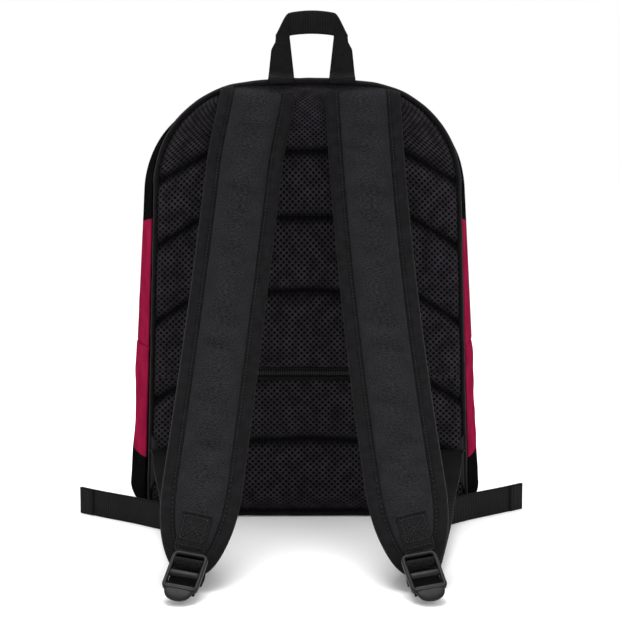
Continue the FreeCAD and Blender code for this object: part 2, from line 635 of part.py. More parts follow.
# legs and top in one outline: up the outside, back down the inside
loop_points = (
    [(about_loop(u), v) for u, v in arch_half]
    + [(about_loop(f"-({u})"), v) for u, v in reversed(arch_half)]
    + [(about_loop(f"-({u})"), v) for u, v in hole_half]
    + [(about_loop(u), v) for u, v in reversed(hole_half)]
)
loop_body = doc.addObject("PartDesign::Body", "haul_loop")
loop_sketch = loop_body.newObject("Sketcher::SketchObject", "haul_loop_sketch")
loop_plane = next(f for f in loop_body.Origin.OriginFeatures if f.Role == "XZ_Plane")
loop_sketch.AttachmentSupport = [(loop_plane, "")]
loop_sketch.MapMode = "FlatFace"
polygon(loop_sketch, loop_points)
doc.recompute()
loop_pad = loop_body.newObject("PartDesign::Pad", "haul_loop_pad")
loop_pad.Profile = loop_sketch
loop_pad.Midplane = True
bind(loop_pad, Length="loop_thickness")
place(loop_body, y=f"{BACK} + binding_depth / 2")
node("haul_loop", loop_body)

# Shoulder straps: a curved side profile trimmed to a tapering front outline


def strap_profile(name, near, far, start, end):
    """A layer of the strap seen from the side, from near to far on the bag's side of its centre line.

    start is the distance below the hinge line, end the length of the straight run.
    """
    sketch = blank_sketch(f"{name}_profile", "side")
    first = f"(strap_top_angle + ({start}) / strap_bend * 180 / pi)"
    turn_y = out_from_back("strap_seam_out + strap_bend * cos(strap_top_angle * 1 deg)")
    turn_z = "(strap_seam_height + strap_bend * sin(strap_top_angle * 1 deg))"
    centre = FreeCAD.Vector(amount(turn_y), amount(turn_z), 0)
    axis = FreeCAD.Vector(0, 0, 1)

    def around(radius, angle):
        y = f"{turn_y} + ({radius}) * cos({angle} * 1 deg)"
        z = f"{turn_z} - ({radius}) * sin({angle} * 1 deg)"
        return y, z

    def spot(pair):
        return FreeCAD.Vector(amount(pair[0]), amount(pair[1]), 0)

    radii = [f"strap_bend + ({near})", f"strap_bend + ({far})"]
    run_y = f"({end}) * sin(strap_low_angle * 1 deg)"
    run_z = f"({end}) * cos(strap_low_angle * 1 deg)"
    tops = [around(radius, first) for radius in radii]
    bends = [around(radius, "strap_low_angle") for radius in radii]
    feet = [(f"{y} - {run_y}", f"{z} - {run_z}") for y, z in bends]
    turn = [math.radians(-amount(angle)) for angle in ("strap_low_angle", first)]
    for i in (0, 1):
        circle = Part.Circle(centre, axis, amount(radii[i]))
        sketch.addGeometry(Part.ArcOfCircle(circle, *turn), False)
    # an arc starts at its lower end and stops at its top
    sketch.addGeometry(Part.LineSegment(spot(tops[0]), spot(tops[1])), False)
    sketch.addGeometry(Part.LineSegment(spot(bends[0]), spot(feet[0])), False)
    sketch.addGeometry(Part.LineSegment(spot(feet[0]), spot(feet[1])), False)
    sketch.addGeometry(Part.LineSegment(spot(feet[1]), spot(bends[1])), False)
    for ends in ((0, 2, 2, 1), (1, 2, 2, 2), (0, 1, 3, 1), (3, 2, 4, 1), (4, 2, 5, 1), (5, 2, 1, 1)):
        sketch.addConstraint(Sketcher.Constraint("Coincident", *ends))
    for i in (0, 1):
        hold(sketch, "DistanceX", -1, 1, i, 3, turn_y)
        hold(sketch, "DistanceY", -1, 1, i, 3, turn_z)
        hold(sketch, "Radius", i, radii[i])
        hold(sketch, "DistanceY", -1, 1, i, 2, tops[i][1])
        hold(sketch, "DistanceY", -1, 1, i, 1, bends[i][1])
    for edge, foot in ((4, feet[0]), (5, feet[1])):
        hold(sketch, "DistanceX", -1, 1, edge, 1, foot[0])
        hold(sketch, "DistanceY", -1, 1, edge, 1, foot[1])
    return extrusion(name, sketch, (1, 0, 0), "reach", "reach")


def band(name, sign, centres, halves):
    """A slanting front outline through three heights, each with its centre and half width."""
    heights = ("strap_seam_height + strap_past", "strap_mid_height", "-strap_past")
    right = [(f"{sign} * ({c}) + ({w})", z) for c, w, z in zip(centres, halves, heights)]
    left = [(f"{sign} * ({c}) - ({w})", z) for c, w, z in zip(centres, halves, heights)]
    return through_y(name, right + left[::-1])


HALF = "strap_thickness / 2"
for hand, sign in (("left", "-1"), ("right", "1")):
    low_gain = f"({hand}_strap_low - {hand}_strap_mid) * (strap_mid_height + strap_past)"
    low_gain = f"{low_gain} / (strap_mid_height - strap_low_height)"
    top_gain = f"({hand}_strap_top - {hand}_strap_mid) * (strap_seam_height + strap_past - strap_mid_height)"
    top_gain = f"{top_gain} / (strap_seam_height - strap_mid_height)"
    centres = (f"{hand}_strap_mid + {top_gain}", f"{hand}_strap_mid", f"{hand}_strap_mid + {low_gain}")
    widths = ("strap_top_width / 2", "(strap_top_width + strap_low_width) / 4", "strap_low_width / 2")
    inner_widths = tuple(f"{w} - strap_binding" for w in widths)
    full = band(f"strap_{hand}_full", sign, centres, widths)
    core = band(f"strap_{hand}_core", sign, centres, inner_widths)
    edges = cut(f"strap_{hand}_edges", full, core)
    pad = strap_profile(f"strap_{hand}_pad_side", f"-{HALF}", f"{HALF} - strap_mesh", "strap_pad_drop", "strap_straight")
    node(f"strap_{hand}_pad", common(f"strap_{hand}_pad", pad, core))
    mesh = strap_profile(f"strap_{hand}_mesh_side", f"{HALF} - strap_mesh", HALF, "strap_pad_drop", "strap_straight")
    node(f"strap_{hand}_mesh", common(f"strap_{hand}_mesh", mesh, core))
    trim = strap_profile(f"strap_{hand}_trim_side", f"-{HALF} / 2", f"{HALF} / 2", "strap_pad_drop", "strap_straight")
    node(f"strap_{hand}_binding", common(f"strap_{hand}_binding", trim, edges))
    root = strap_profile(f"strap_{hand}_root_side", "-strap_flange / 2", "strap_flange / 2", "strap_flange_drop", "strap_straight")
    drop = block(
        f"strap_{hand}_root_zone",
        ("-reach / 2", "reach / 2"),
        ("-reach / 2", "reach / 2"),
        ("strap_seam_height - strap_pad_drop + strap_flange_drop", "reach"),
    )
    node(f"strap_{hand}_root", common(f"strap_{hand}_root", common(f"strap_{hand}_root_top", root, drop), core))
    patch_half = "patch_width / 2"
    patch_band = band(f"strap_{hand}_patch_band", sign, centres, (patch_half,) * 3)
    skin_side = strap_profile(
        f"strap_{hand}_patch_side", f"-{HALF} - patch_thickness", f"-{HALF}", "strap_pad_drop", "strap_straight"
    )
    low_zone = wide(f"strap_{hand}_patch_zone", ("-reach", "reach"), ("0", "strap_low_height + patch_rise"))
    patch = common(f"strap_{hand}_patch_low", skin_side, low_zone)
    node(f"strap_{hand}_patch", common(f"strap_{hand}_patch", patch, patch_band))

# Ladder locks: a moulded frame of three bars with a thumb tab


def ladder_lock(label, x, sign):
    """Padded frame, two slots and a thumb tab, drawn flat and then leaned against the webbing."""
    body = doc.addObject("PartDesign::Body", label)
    plane = next(f for f in body.Origin.OriginFeatures if f.Role == "XZ_Plane")

    def draw(name, points):
        sketch = body.newObject("Sketcher::SketchObject", name)
        sketch.AttachmentSupport = [(plane, "")]
        sketch.MapMode = "FlatFace"
        polygon(sketch, points)
        doc.recompute()
        return sketch

    half = "lock_width / 2"
    tab = "lock_tab_width / 2"
    foot = "-(lock_length + lock_tab_length)"
    frame = [
        (f"-{half}", "0"),
        (half, "0"),
        (half, "-lock_length"),
        (tab, "-lock_length"),
        (f"{tab} - lock_tab_slope", foot),
        (f"-({tab} - lock_tab_slope)", foot),
        (f"-{tab}", "-lock_length"),
        (f"-{half}", "-lock_length"),
    ]
    pad = body.newObject("PartDesign::Pad", f"{label}_frame")
    pad.Profile = draw(f"{label}_outline", frame)
    pad.Midplane = True
    bind(pad, Length="lock_thickness")
    doc.recompute()
    inner = f"({half} - lock_rail)"
    mid_top = "(-lock_length / 2 + lock_mid_bar / 2)"
    mid_low = "(-lock_length / 2 - lock_mid_bar / 2)"
    tip = pad
    for name, top, low in (("upper", "-lock_bar", mid_top), ("lower", mid_low, "-lock_length + lock_bar")):
        pocket = body.newObject("PartDesign::Pocket", f"{label}_{name}_slot")
        outline = [(f"-{inner}", low), (inner, low), (inner, top), (f"-{inner}", top)]
        pocket.Profile = draw(f"{label}_{name}_outline", outline)
        pocket.Midplane = True
        bind(pocket, Length="lock_thickness * 2")
        doc.recompute()
        if pocket.Shape.Volume >= tip.Shape.Volume:
            raise RuntimeError(f"{label}: the {name} slot cut nothing")
        tip = pocket
    lean = FreeCAD.Rotation(FreeCAD.Vector(-1, 0, 0), amount("lock_angle"))
    roll = FreeCAD.Rotation(FreeCAD.Vector(0, 1, 0), -float(sign) * amount("lock_roll"))
    body.Placement = FreeCAD.Placement(FreeCAD.Vector(), lean.multiply(roll))
    place(body, x=x, y=out_from_back("lock_out"), z="lock_height")
    return node(label, body)


for hand, sign in (("left", "-1"), ("right", "1")):
    ladder_lock(f"ladder_lock_{hand}", f"{sign} * {hand}_strap_low", sign)

# Sewn triangles at the side seams, adjusting webbing, and the free tails
WEB = "web_width / 2"
THIN = "web_thickness / 2"
for hand, sign in (("left", "-1"), ("right", "1")):
    edge = "back_half_base"
    inner = f"({edge} - tab_reach)"
    triangle = [
        (f"{sign} * {edge}", "tab_top"),
        (f"{sign} * {inner}", "tab_top - tab_reach"),
        (f"{sign} * {inner}", "tab_bottom + tab_slope"),
        (f"{sign} * {edge}", "tab_bottom"),
    ]
    plate = through_y(f"web_tab_{hand}_plate", triangle)
    zone = wide(f"web_tab_{hand}_zone", (out_from_back("web_thickness"), BACK), EVERY_HEIGHT)
    node(f"web_tab_{hand}", common(f"web_tab_{hand}", plate, zone))

    path = [("web_seam_out", "web_seam_height"), ("web_knee_out", "web_knee_height"), ("web_end_out", "web_end_height")]
    above = [(out_from_back(d), f"{z} + {THIN}") for d, z in path]
    below = [(out_from_back(d), f"{z} - {THIN}") for d, z in path]
    side = through_x(f"webbing_{hand}_side", above + below[::-1])
    sides = ("web_seam_side", "web_knee_side", "web_end_side")
    right = [(f"{sign} * {s} + {WEB}", out_from_back(d)) for s, (d, z) in zip(sides, path)]
    left = [(f"{sign} * {s} - {WEB}", out_from_back(d)) for s, (d, z) in zip(sides, path)]
    plan = through_z(f"webbing_{hand}_plan", right + left[::-1])
    node(f"webbing_{hand}", common(f"webbing_{hand}", side, plan))

    # the tail's flat run from the lock back along the floor
    lead_plan = [
        (f"{sign} * web_end_side + {WEB}", out_from_back("web_end_out - lead_start")),
        (f"{sign} * (web_end_side + lead_drift) + {WEB}", out_from_back("lead_end_out")),
        (f"{sign} * (web_end_side + lead_drift) - {WEB}", out_from_back("lead_end_out")),
        (f"{sign} * web_end_side - {WEB}", out_from_back("web_end_out - lead_start")),
    ]
    floor_zone = wide(f"tail_lead_{hand}_zone", ("-reach", "reach"), ("floor_clear", "floor_clear + web_thickness"))
    lead = through_z(f"tail_lead_{hand}_plan", lead_plan)
    node(f"tail_lead_{hand}", common(f"tail_lead_{hand}", lead, floor_zone))

    # the free tail stands on its edge
    near = f"{hand}_tail_near_side", f"{hand}_tail_near_out"
    far = f"{hand}_tail_far_side", f"{hand}_tail_far_out"
    corners = [
        (f"{sign} * {near[0]}", f"{out_from_back(near[1])} - {THIN}"),
        (f"{sign} * {far[0]}", f"{out_from_back(far[1])} - {THIN}"),
        (f"{sign} * {far[0]}", f"{out_from_back(far[1])} + {THIN}"),
        (f"{sign} * {near[0]}", f"{out_from_back(near[1])} + {THIN}"),
    ]
    stand = wide(f"tail_{hand}_zone", ("-reach", "reach"), ("0", "web_width"))
    node(f"webbing_tail_{hand}", common(f"webbing_tail_{hand}", through_z(f"tail_{hand}_plan", corners), stand))

doc.recompute()

for item in doc.Objects:
    if "Invalid" in item.State or "Error" in item.State:
        raise RuntimeError(f"{item.Name} failed: {item.State}")
for item in NODES:
    if item.Shape.isNull() or not item.Shape.isValid() or not item.Shape.Solids:
        raise RuntimeError(f"{item.Label} has no valid solid")

os.makedirs("parts", exist_ok=True)
for item in NODES:
    item.Shape.exportStep(f"parts/{item.Label}.step")
print(len(NODES), "nodes")
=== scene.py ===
import math

import bmesh
import bpy
from mathutils import Matrix, Vector, noise


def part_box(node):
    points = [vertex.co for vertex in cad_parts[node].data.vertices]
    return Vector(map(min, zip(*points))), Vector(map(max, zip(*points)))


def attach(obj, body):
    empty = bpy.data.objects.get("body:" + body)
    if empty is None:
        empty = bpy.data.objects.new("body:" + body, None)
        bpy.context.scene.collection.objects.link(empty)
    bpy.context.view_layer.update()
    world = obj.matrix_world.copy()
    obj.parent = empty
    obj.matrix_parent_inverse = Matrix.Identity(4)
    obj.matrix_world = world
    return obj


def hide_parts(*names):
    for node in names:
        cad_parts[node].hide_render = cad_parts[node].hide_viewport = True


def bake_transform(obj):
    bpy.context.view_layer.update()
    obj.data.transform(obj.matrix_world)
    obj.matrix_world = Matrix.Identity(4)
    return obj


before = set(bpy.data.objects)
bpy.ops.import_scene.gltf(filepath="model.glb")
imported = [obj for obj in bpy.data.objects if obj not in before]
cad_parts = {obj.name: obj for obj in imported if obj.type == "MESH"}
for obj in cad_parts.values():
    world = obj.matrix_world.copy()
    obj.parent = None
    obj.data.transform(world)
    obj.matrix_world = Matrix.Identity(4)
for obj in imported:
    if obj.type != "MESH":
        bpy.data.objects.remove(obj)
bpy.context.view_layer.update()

# ---------------------------------------------------------------------------------------------
# Studio: a plain white floor that runs on into a white room, lit softly from above and in front,
# with the camera at the height of a table, square to the padded back.

# the bag's own places: its padded back, the middle of its height, its crown
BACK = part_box("back_edge_binding")[0].y
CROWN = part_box("back_edge_binding")[1].z
CAMERA_SIDE, CAMERA_AWAY, CAMERA_HEIGHT, AIM_HEIGHT = 0.0024, 1.6, 0.403, 0.2007
LENS = 98.4


def mix(a, b, share):
    return a + (b - a) * share


def ease(x):
    """0 below 0, 1 above 1, and smooth between."""
    x = min(max(x, 0.0), 1.0)
    return x * x * (3 - 2 * x)


def dye(red, green, blue):
    """A colour as it looks on a screen, 0 to 255 each, as the shader wants it."""

    def linear(c):
        c /= 255
        return c / 12.92 if c <= 0.04045 else ((c + 0.055) / 1.055) ** 2.4

    return linear(red), linear(green), linear(blue), 1.0


class Shade:
    """A value on its way through a finish's nodes, so that its maths reads as maths."""

    def __init__(self, finish, socket):
        self.finish, self.socket = finish, socket

    def maths(self, operation, first, second=0.0):
        return self.finish.add("Math", {"operation": operation}, {0: first, 1: second})

    def __add__(self, other):
        return self.maths("ADD", self, other)

    def __sub__(self, other):
        return self.maths("SUBTRACT", self, other)

    def __mul__(self, other):
        return self.maths("MULTIPLY", self, other)

    def __gt__(self, other):
        return self.maths("GREATER_THAN", self, other)

    def __lt__(self, other):
        return self.maths("LESS_THAN", self, other)

    def __radd__(self, other):
        return self.maths("ADD", other, self)

    def __rsub__(self, other):
        return self.maths("SUBTRACT", other, self)

    def __rmul__(self, other):
        return self.maths("MULTIPLY", other, self)

    def __abs__(self):
        return self.maths("ABSOLUTE", self)

    def wave(self, length):
        """From -1 to 1 and back once in each length."""
        return self.maths("COSINE", self * (2 * math.pi / length))

    def held(self, low, high):
        """0 at low, 1 at high, and no further either side."""
        return self.finish.add("MapRange", {}, {"Value": self, "From Min": low, "From Max": high})


class Finish:
    """A material. Its fixed numbers sit on the shader; add() makes any other node."""

    def __init__(self, name, roughness, **fixed):
        self.material = bpy.data.materials.new(name)
        self.material.use_nodes = True
        self.tree = self.material.node_tree
        self.shader = self.tree.nodes["Principled BSDF"]
        self.shader.inputs["Roughness"].default_value = roughness
        for socket, value in fixed.items():
            self.shader.inputs[socket.replace("_", " ")].default_value = value

    def feed(self, socket, value):
        if isinstance(value, Shade):
            self.tree.links.new(value.socket, socket)
        else:
            socket.default_value = value

    def add(self, kind, settings, inputs, output=0):
        """One node: its type, then its settings, then what goes into its sockets."""
        node = self.tree.nodes.new("ShaderNode" + kind)
        for name, value in settings.items():
            setattr(node, name, value)
        for key, value in inputs.items():
            self.feed(node.inputs[key], value)
        return Shade(self, node.outputs[output])

    def parts(self, vector):
        """The three numbers of a vector."""
        node = self.tree.nodes.new("ShaderNodeSeparateXYZ")
        self.feed(node.inputs[0], vector)
        return [Shade(self, socket) for socket in node.outputs]

    def spot(self):
        """A point on the object, in its own axes, in metres."""
        return self.add("TexCoord", {}, {}, 3)

    def cloth_spot(self):
        """A point on the flat cloth, in metres, as the piece's own map says."""
        return self.add("UVMap", {"uv_map": "cloth"}, {})

    def cloudy(self, where, scale, detail=2.0):
        """Soft unevenness from 0 to 1."""
        return self.add("TexNoise", {}, {"Vector": where, "Scale": scale, "Detail": detail})

    def blend(self, share, first, second):
        return self.add("Mix", {"data_type": "RGBA"}, {0: share, 6: first, 7: second}, 2)

    def colour(self, value):
        self.feed(self.shader.inputs["Base Color"], value)

    def rough(self, value):
        self.feed(self.shader.inputs["Roughness"], value)

    def relief(self, height, depth, strength=1.0):
        """Lets a height from 0 to 1 catch the light as depth metres of relief."""
        bump = self.add("Bump", {}, {"Strength": strength, "Distance": depth, "Height": height})
        self.feed(self.shader.inputs["Normal"], bump)


def put_away(bm, name, finish):
    """Turns a bmesh into an object with its finish, smooth shaded, at the origin."""
    mesh = bpy.data.meshes.new(name)
    bm.to_mesh(mesh)
    bm.free()
    for face in mesh.polygons:
        face.use_smooth = True
    mesh.materials.append(finish.material)
    piece = bpy.data.objects.new(name, mesh)
    bpy.context.scene.collection.objects.link(piece)
    return piece


paper = Finish("studio_paper", 0.9, Specular_IOR_Level=0.0)
paper.colour(dye(255, 255, 255))
bm = bmesh.new()
bmesh.ops.create_grid(bm, x_segments=1, y_segments=1, size=6)
floor = put_away(bm, "floor", paper)

room = bpy.data.worlds.new("white_room")
room.use_nodes = True
room.node_tree.nodes["Background"].inputs["Color"].default_value = (1, 1, 1, 1)
room.node_tree.nodes["Background"].inputs["Strength"].default_value = 1.0
bpy.context.scene.world = room
bpy.context.scene.view_settings.view_transform = "Standard"


def softbox(name, place, aim, size, power):
    lamp = bpy.data.lights.new(name, "AREA")
    lamp.shape = "DISK"
    lamp.size = size
    lamp.energy = power
    holder = bpy.data.objects.new(name, lamp)
    holder.location = place
    holder.rotation_euler = (Vector(aim) - Vector(place)).to_track_quat("-Z", "Y").to_euler()
    bpy.context.scene.collection.objects.link(holder)


softbox("key_above", (-0.1, 0.1, 2.1), (0, -0.05, 0.2), 1.4, 36)
softbox("fill_front", (0.7, -1.7, 0.8), (0, 0, 0.2), 1.0, 5)

camera = bpy.data.objects.new("camera", bpy.data.cameras.new("camera"))
camera.data.lens = LENS
camera.data.sensor_width = 36
camera.location = (CAMERA_SIDE, BACK - CAMERA_AWAY, CAMERA_HEIGHT)
aim = Vector((CAMERA_SIDE, BACK, AIM_HEIGHT)) - camera.location
camera.rotation_euler = aim.to_track_quat("-Z", "Y").to_euler()
bpy.context.scene.collection.objects.link(camera)
bpy.context.scene.camera = camera

# ---------------------------------------------------------------------------------------------
# Base panel: one flat piece of plain polyester, turned up a little at its ends and sewn to the side
# gussets. It is what the bag stands on.

# the bag's outline at its back, its widest and its front: depth, height, half width low and high
OUTLINES = (
    (BACK, CROWN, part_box("back_edge_binding")[1].x, 0.1455),
    (0.0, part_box("rear_zip_tape")[1].z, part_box("side_gusset_right")[1].x, 0.157),
    (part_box("front_piping_upper")[0].y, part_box("front_piping_upper")[1].z, 0.160, 0.148),
)
CROWN_TURN, SHOULDER_TURN, CORNER_TURN = 0.450, 0.098, 0.020
# shares of the half outline where the base, corner, side, shoulder and crown begin and end
FOOT, LOW, HIGH, TOP = 0.2, 0.265, 0.68, 0.885
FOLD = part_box("front_panel_lower")[1].z
PANEL_FRONT = OUTLINES[2][0]
GUSSET_BACK = BACK + 0.006
CLOTH = 0.0016
PRINT_LOW, PRINT_HIGH = 0.057, 0.288
# how far the soft middle of the bag leans to the left
SLUMP = 0.003
WELD = 0.00002


def outline_edge(depth, s):
    """A point of the right half outline at a depth and the way it faces there, as (x, z) pairs."""
    back, middle, front = OUTLINES
    if depth < middle[0]:
        share = math.sin(math.pi / 2 * max(1 - depth / back[0], 0))
        height, low_half, high_half = (mix(a, b, share) for a, b in zip(back[1:], middle[1:]))
    else:
        share = math.cos(math.pi / 2 * min(depth / front[0], 1))
        height, low_half, high_half = (mix(a, b, share) for a, b in zip(front[1:], middle[1:]))
    corner = Vector((low_half - CORNER_TURN, CORNER_TURN))
    inward = high_half - SHOULDER_TURN
    crown = Vector((0, height - CROWN_TURN))
    shoulder = Vector((inward, crown.y + math.sqrt((CROWN_TURN - SHOULDER_TURN) ** 2 - inward**2)))
    run = shoulder - corner
    lean = (CORNER_TURN - SHOULDER_TURN) / run.length
    along = run.normalized()
    side = along * lean + Vector((along.y, -along.x)) * math.sqrt(1 - lean**2)
    side_angle = math.atan2(side.y, side.x)
    over = (shoulder - crown).normalized()
    over_angle = math.atan2(over.y, over.x)

    def turn(centre, radius, first, last, share):
        angle = mix(first, last, share)
        facing = Vector((math.cos(angle), math.sin(angle)))
        return centre + facing * radius, facing

    if s <= FOOT:
        return Vector((corner.x * s / FOOT, 0)), Vector((0, -1))
    if s <= LOW:
        return turn(corner, CORNER_TURN, -math.pi / 2, side_angle, (s - FOOT) / (LOW - FOOT))
    if s <= HIGH:
        share = (s - LOW) / (HIGH - LOW)
        return mix(corner + side * CORNER_TURN, shoulder + side * SHOULDER_TURN, share), side
    if s <= TOP:
        return turn(shoulder, SHOULDER_TURN, side_angle, over_angle, (s - HIGH) / (TOP - HIGH))
    return turn(crown, CROWN_TURN, over_angle, math.pi / 2, (s - TOP) / (1 - TOP))


def bag_spot(hand, s, depth, lift=0.0):
    """A point on the bag's skin: hand is 1 right, -1 left; lift stands it off the skin."""
    edge, facing = outline_edge(depth, s)
    share = (depth - BACK) / (PANEL_FRONT - BACK)
    slump = SLUMP * math.sin(math.pi * min(max(share, 0), 1)) * ease((CROWN - edge.y) / 0.06)
    return Vector((hand * (edge.x + facing.x * lift) - slump, depth, edge.y + facing.y * lift))


def share_at(height, depth):
    """Where the outline passes a height on its side."""
    low, high = outline_edge(depth, LOW)[0].y, outline_edge(depth, HIGH)[0].y
    return LOW + (HIGH - LOW) * (height - low) / (high - low)


def rumple(point, size, amount):
    """A soft fold of cloth: up to amount in or out, about size across."""
    return noise.noise(point / size) * amount


def lay(cells, place, out, size, closed=False):
    """A sheet of cloth as a grid: cells across and along, each corner put where place(u, v) says.

    u and v run from 0 to 1. Its middle faces out, and size is its real width and length. A closed
    one is rolled into a tube round u, with its ends filled.
    """
    bm = bmesh.new()
    bmesh.ops.create_grid(bm, x_segments=cells[0], y_segments=cells[1], size=0.5)
    pattern = bm.loops.layers.uv.new("cloth")
    for face in bm.faces:
        for loop in face.loops:
            loop[pattern].uv = (loop.vert.co.x * size[0], loop.vert.co.y * size[1])
    for vert in bm.verts:
        vert.co = place(vert.co.x + 0.5, vert.co.y + 0.5)
    if closed:
        bmesh.ops.remove_doubles(bm, verts=bm.verts[:], dist=WELD)
        bmesh.ops.holes_fill(bm, edges=bm.edges[:], sides=0)
        bmesh.ops.recalc_face_normals(bm, faces=bm.faces[:])
        return bm
    bm.normal_update()
    bm.faces.ensure_lookup_table()
    if bm.faces[len(bm.faces) // 2 + cells[0] // 2].normal.dot(Vector(out)) < 0:
        bmesh.ops.reverse_faces(bm, faces=bm.faces[:])
    return bm


def fit(bm, name, finish, body, stands_for=(), wall=0.0):
    """Finishes a piece and puts it on its body, with what it stands for and how thick it is. A body
    given as a tuple is not attached: the piece stays unparented where it was made.
    """
    piece = put_away(bm, name, finish)
    if wall:
        thick = piece.modifiers.new("thickness", "SOLIDIFY")
        thick.thickness = wall
        thick.offset = -1
    if isinstance(body, str):
        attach(piece, body)
    else:
        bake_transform(piece)
    if stands_for:
        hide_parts(*stands_for)


base_cloth = Finish("base_cloth", 0.85, Sheen_Weight=0.03, Specular_IOR_Level=0.06)
u, v, _ = base_cloth.parts(base_cloth.cloth_spot())
weave = u.wave(0.0011) * v.wave(0.0011)
base_cloth.colour(base_cloth.blend(weave.held(-1, 1), dye(14, 14, 15), dye(24, 24, 26)))
base_cloth.relief(weave, 0.0002, 0.6)

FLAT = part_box("base_panel")
OFF_FLOOR = 0.0002


def base_spot(u, v):
    return Vector((mix(FLAT[0].x, FLAT[1].x, u), mix(GUSSET_BACK, PANEL_FRONT, v), OFF_FLOOR))


base = lay((40, 16), base_spot, (0, 0, -1), (FLAT[1].x * 2, PANEL_FRONT - GUSSET_BACK))
fit(base, "base_panel_cloth", base_cloth, "bag", ["base_panel"], CLOTH)

# ---------------------------------------------------------------------------------------------
# Side gussets and the arch over the top: printed polyester twill with a crimson band between black
# ends, sewn inside out to the back panel's binding. A cross seam joins the two below the fold.

printed = Finish("printed_twill", 0.95, Specular_IOR_Level=0.0)
spot = printed.spot()
x, y, z = printed.parts(spot)
twill = (x + y + z * 1.4).wave(0.0012) * (z - y).wave(0.0012)
uneven = printed.cloudy(spot, 38)
band = (z > PRINT_LOW) * (z + (y - BACK) * 0.13 < PRINT_HIGH)
crimson = printed.blend(uneven.held(0.3, 0.75), dye(120, 18, 48), dye(146, 27, 62))
black = printed.blend(uneven.held(0.3, 0.75), dye(9, 9, 10), dye(16, 16, 17))
printed.colour(printed.blend(band, black, crimson))
printed.relief(twill * 0.4 + uneven, 0.0007, 0.5)

SIDES = {"left": -1, "right": 1}


def gusset_skin(side):
    """A side gusset, from the base's corner up to the fold and a little slack between its seams."""

    def place(u, v):
        depth = mix(GUSSET_BACK, PANEL_FRONT, u)
        s = mix(FOOT, share_at(FOLD, depth), v)
        point = bag_spot(side, s, depth)
        loose = ease((depth - GUSSET_BACK) / 0.015) * ease((PANEL_FRONT - depth) / 0.01)
        slack = rumple(point, 0.055, 0.0022) + rumple(point, 0.018, 0.0008)
        seam = -0.0012 * math.exp(-(((point.z - FOLD) / 0.0015) ** 2))
        return bag_spot(side, s, depth, slack * loose + seam)

    return place


for hand, side in SIDES.items():
    gusset = lay((44, 90), gusset_skin(side), (side, 0, 0), (0.12, 0.19))
    fit(
        gusset, f"side_gusset_cloth_{hand}", printed, "bag",
        [f"side_gusset_{hand}"], CLOTH,
    )


def over_the_crown(u):
    """u from 0 at the left fold over the crown to 1 at the right fold: hand and share of the climb."""
    return (-1 if u < 0.5 else 1), 1 - abs(2 * u - 1)


def arch(near, far, lift=0.0, sag=0.0, start=FOLD):
    """A band of skin from the left fold over the crown to the right one, between two depths."""

    def place(u, v):
        side, climb = over_the_crown(v)
        depth = mix(near, far, u)
        s = mix(share_at(start, depth), 1.0, climb)
        point = bag_spot(side, s, depth)
        slack = rumple(point, 0.05, sag) * math.sin(math.pi * u)
        return bag_spot(side, s, depth, lift + slack)

    return place


REAR_TAPE_BACK, REAR_TAPE_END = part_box("rear_zip_tape")[0].y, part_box("rear_zip_tape")[1].y
FLAP_TAPE_START, FLAP_TAPE_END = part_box("front_zip_tape")[0].y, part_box("front_zip_tape")[1].y
ARCH_LENGTH = 0.86
rear_arch = arch(GUSSET_BACK, REAR_TAPE_BACK, 0, 0.002)
rear_arch = lay((22, 170), rear_arch, (0, 0, 1), (0.057, ARCH_LENGTH))
fit(rear_arch, "rear_arch_cloth", printed, "bag", ["rear_arch_gusset"], CLOTH)
front_arch = arch(FLAP_TAPE_END, PANEL_FRONT, 0, 0.0012)
front_arch = lay((12, 170), front_arch, (0, 0, 1), (0.03, ARCH_LENGTH))
fit(
    front_arch, "front_arch_cloth", printed, "front_flap",
    ["front_arch_gusset"], CLOTH,
)

# ---------------------------------------------------------------------------------------------
# Main zip: two woven tapes with a closed nylon coil between them, over the crown from fold to fold.
# The rear tape stays with the bag; the front tape opens with the flap.

tape = Finish("zip_tape", 0.8, Sheen_Weight=0.02, Specular_IOR_Level=0.06)
u, v, _ = tape.parts(tape.cloth_spot())
cross = u.wave(0.0009) * v.wave(0.0016)
tape.colour(tape.blend(cross.held(-1, 1), dye(12, 12, 13), dye(22, 22, 24)))
tape.relief(cross, 0.0002, 0.7)
coil = Finish("zip_coil", 0.42, Specular_IOR_Level=0.3)
uneven = coil.cloudy(coil.spot(), 900)
coil.colour(coil.blend(uneven.held(0.3, 0.7), dye(12, 12, 13), dye(22, 22, 24)))

COIL_PITCH = 0.0022
COIL_RISE = 0.001
TAPE_WALL = 0.0009


def brick(bm, middle, axes, size):
    """A small block about a point, given its three axes and its three sizes."""
    turn = Matrix(axes).transposed().to_4x4()
    place = Matrix.Translation(middle) @ turn @ Matrix.Diagonal((*size, 1))
    bmesh.ops.create_cube(bm, size=1, matrix=place)


def ease_edges(bm, edges, by, segments):
    """Takes the sharpness off edges: flat with one segment, round with more."""
    return bmesh.ops.bevel(
        bm, geom=edges, offset=by, offset_type="OFFSET", segments=segments, profile=0.5,
        affect="EDGES", material=-1,
    )


def teeth(places, across):
    """A row of coil loops: places gives each one's middle, the zip's run, and the way it faces."""
    bm = bmesh.new()
    for middle, run, facing in places:
        width = facing.cross(run).normalized()
        axes = (run.normalized(), width, facing.normalized())
        brick(bm, middle, axes, (COIL_PITCH * 0.62, across, COIL_RISE * 1.3))
    ease_edges(bm, bm.edges[:], COIL_PITCH * 0.16, 1)
    return bm


def arch_teeth(depth, across):
    count = int(ARCH_LENGTH / COIL_PITCH)
    places = []
    for i in range(count):
        side, climb = over_the_crown((i + 0.5) / count)
        s = mix(share_at(FOLD, depth), 1.0, climb)
        here, ahead = bag_spot(side, s, depth, 0.0004), bag_spot(side, s + 0.002, depth, 0.0004)
        run = (ahead - here) * side
        places.append((here, run, Vector((0, -1, 0)).cross(run)))
    return teeth(places, across)


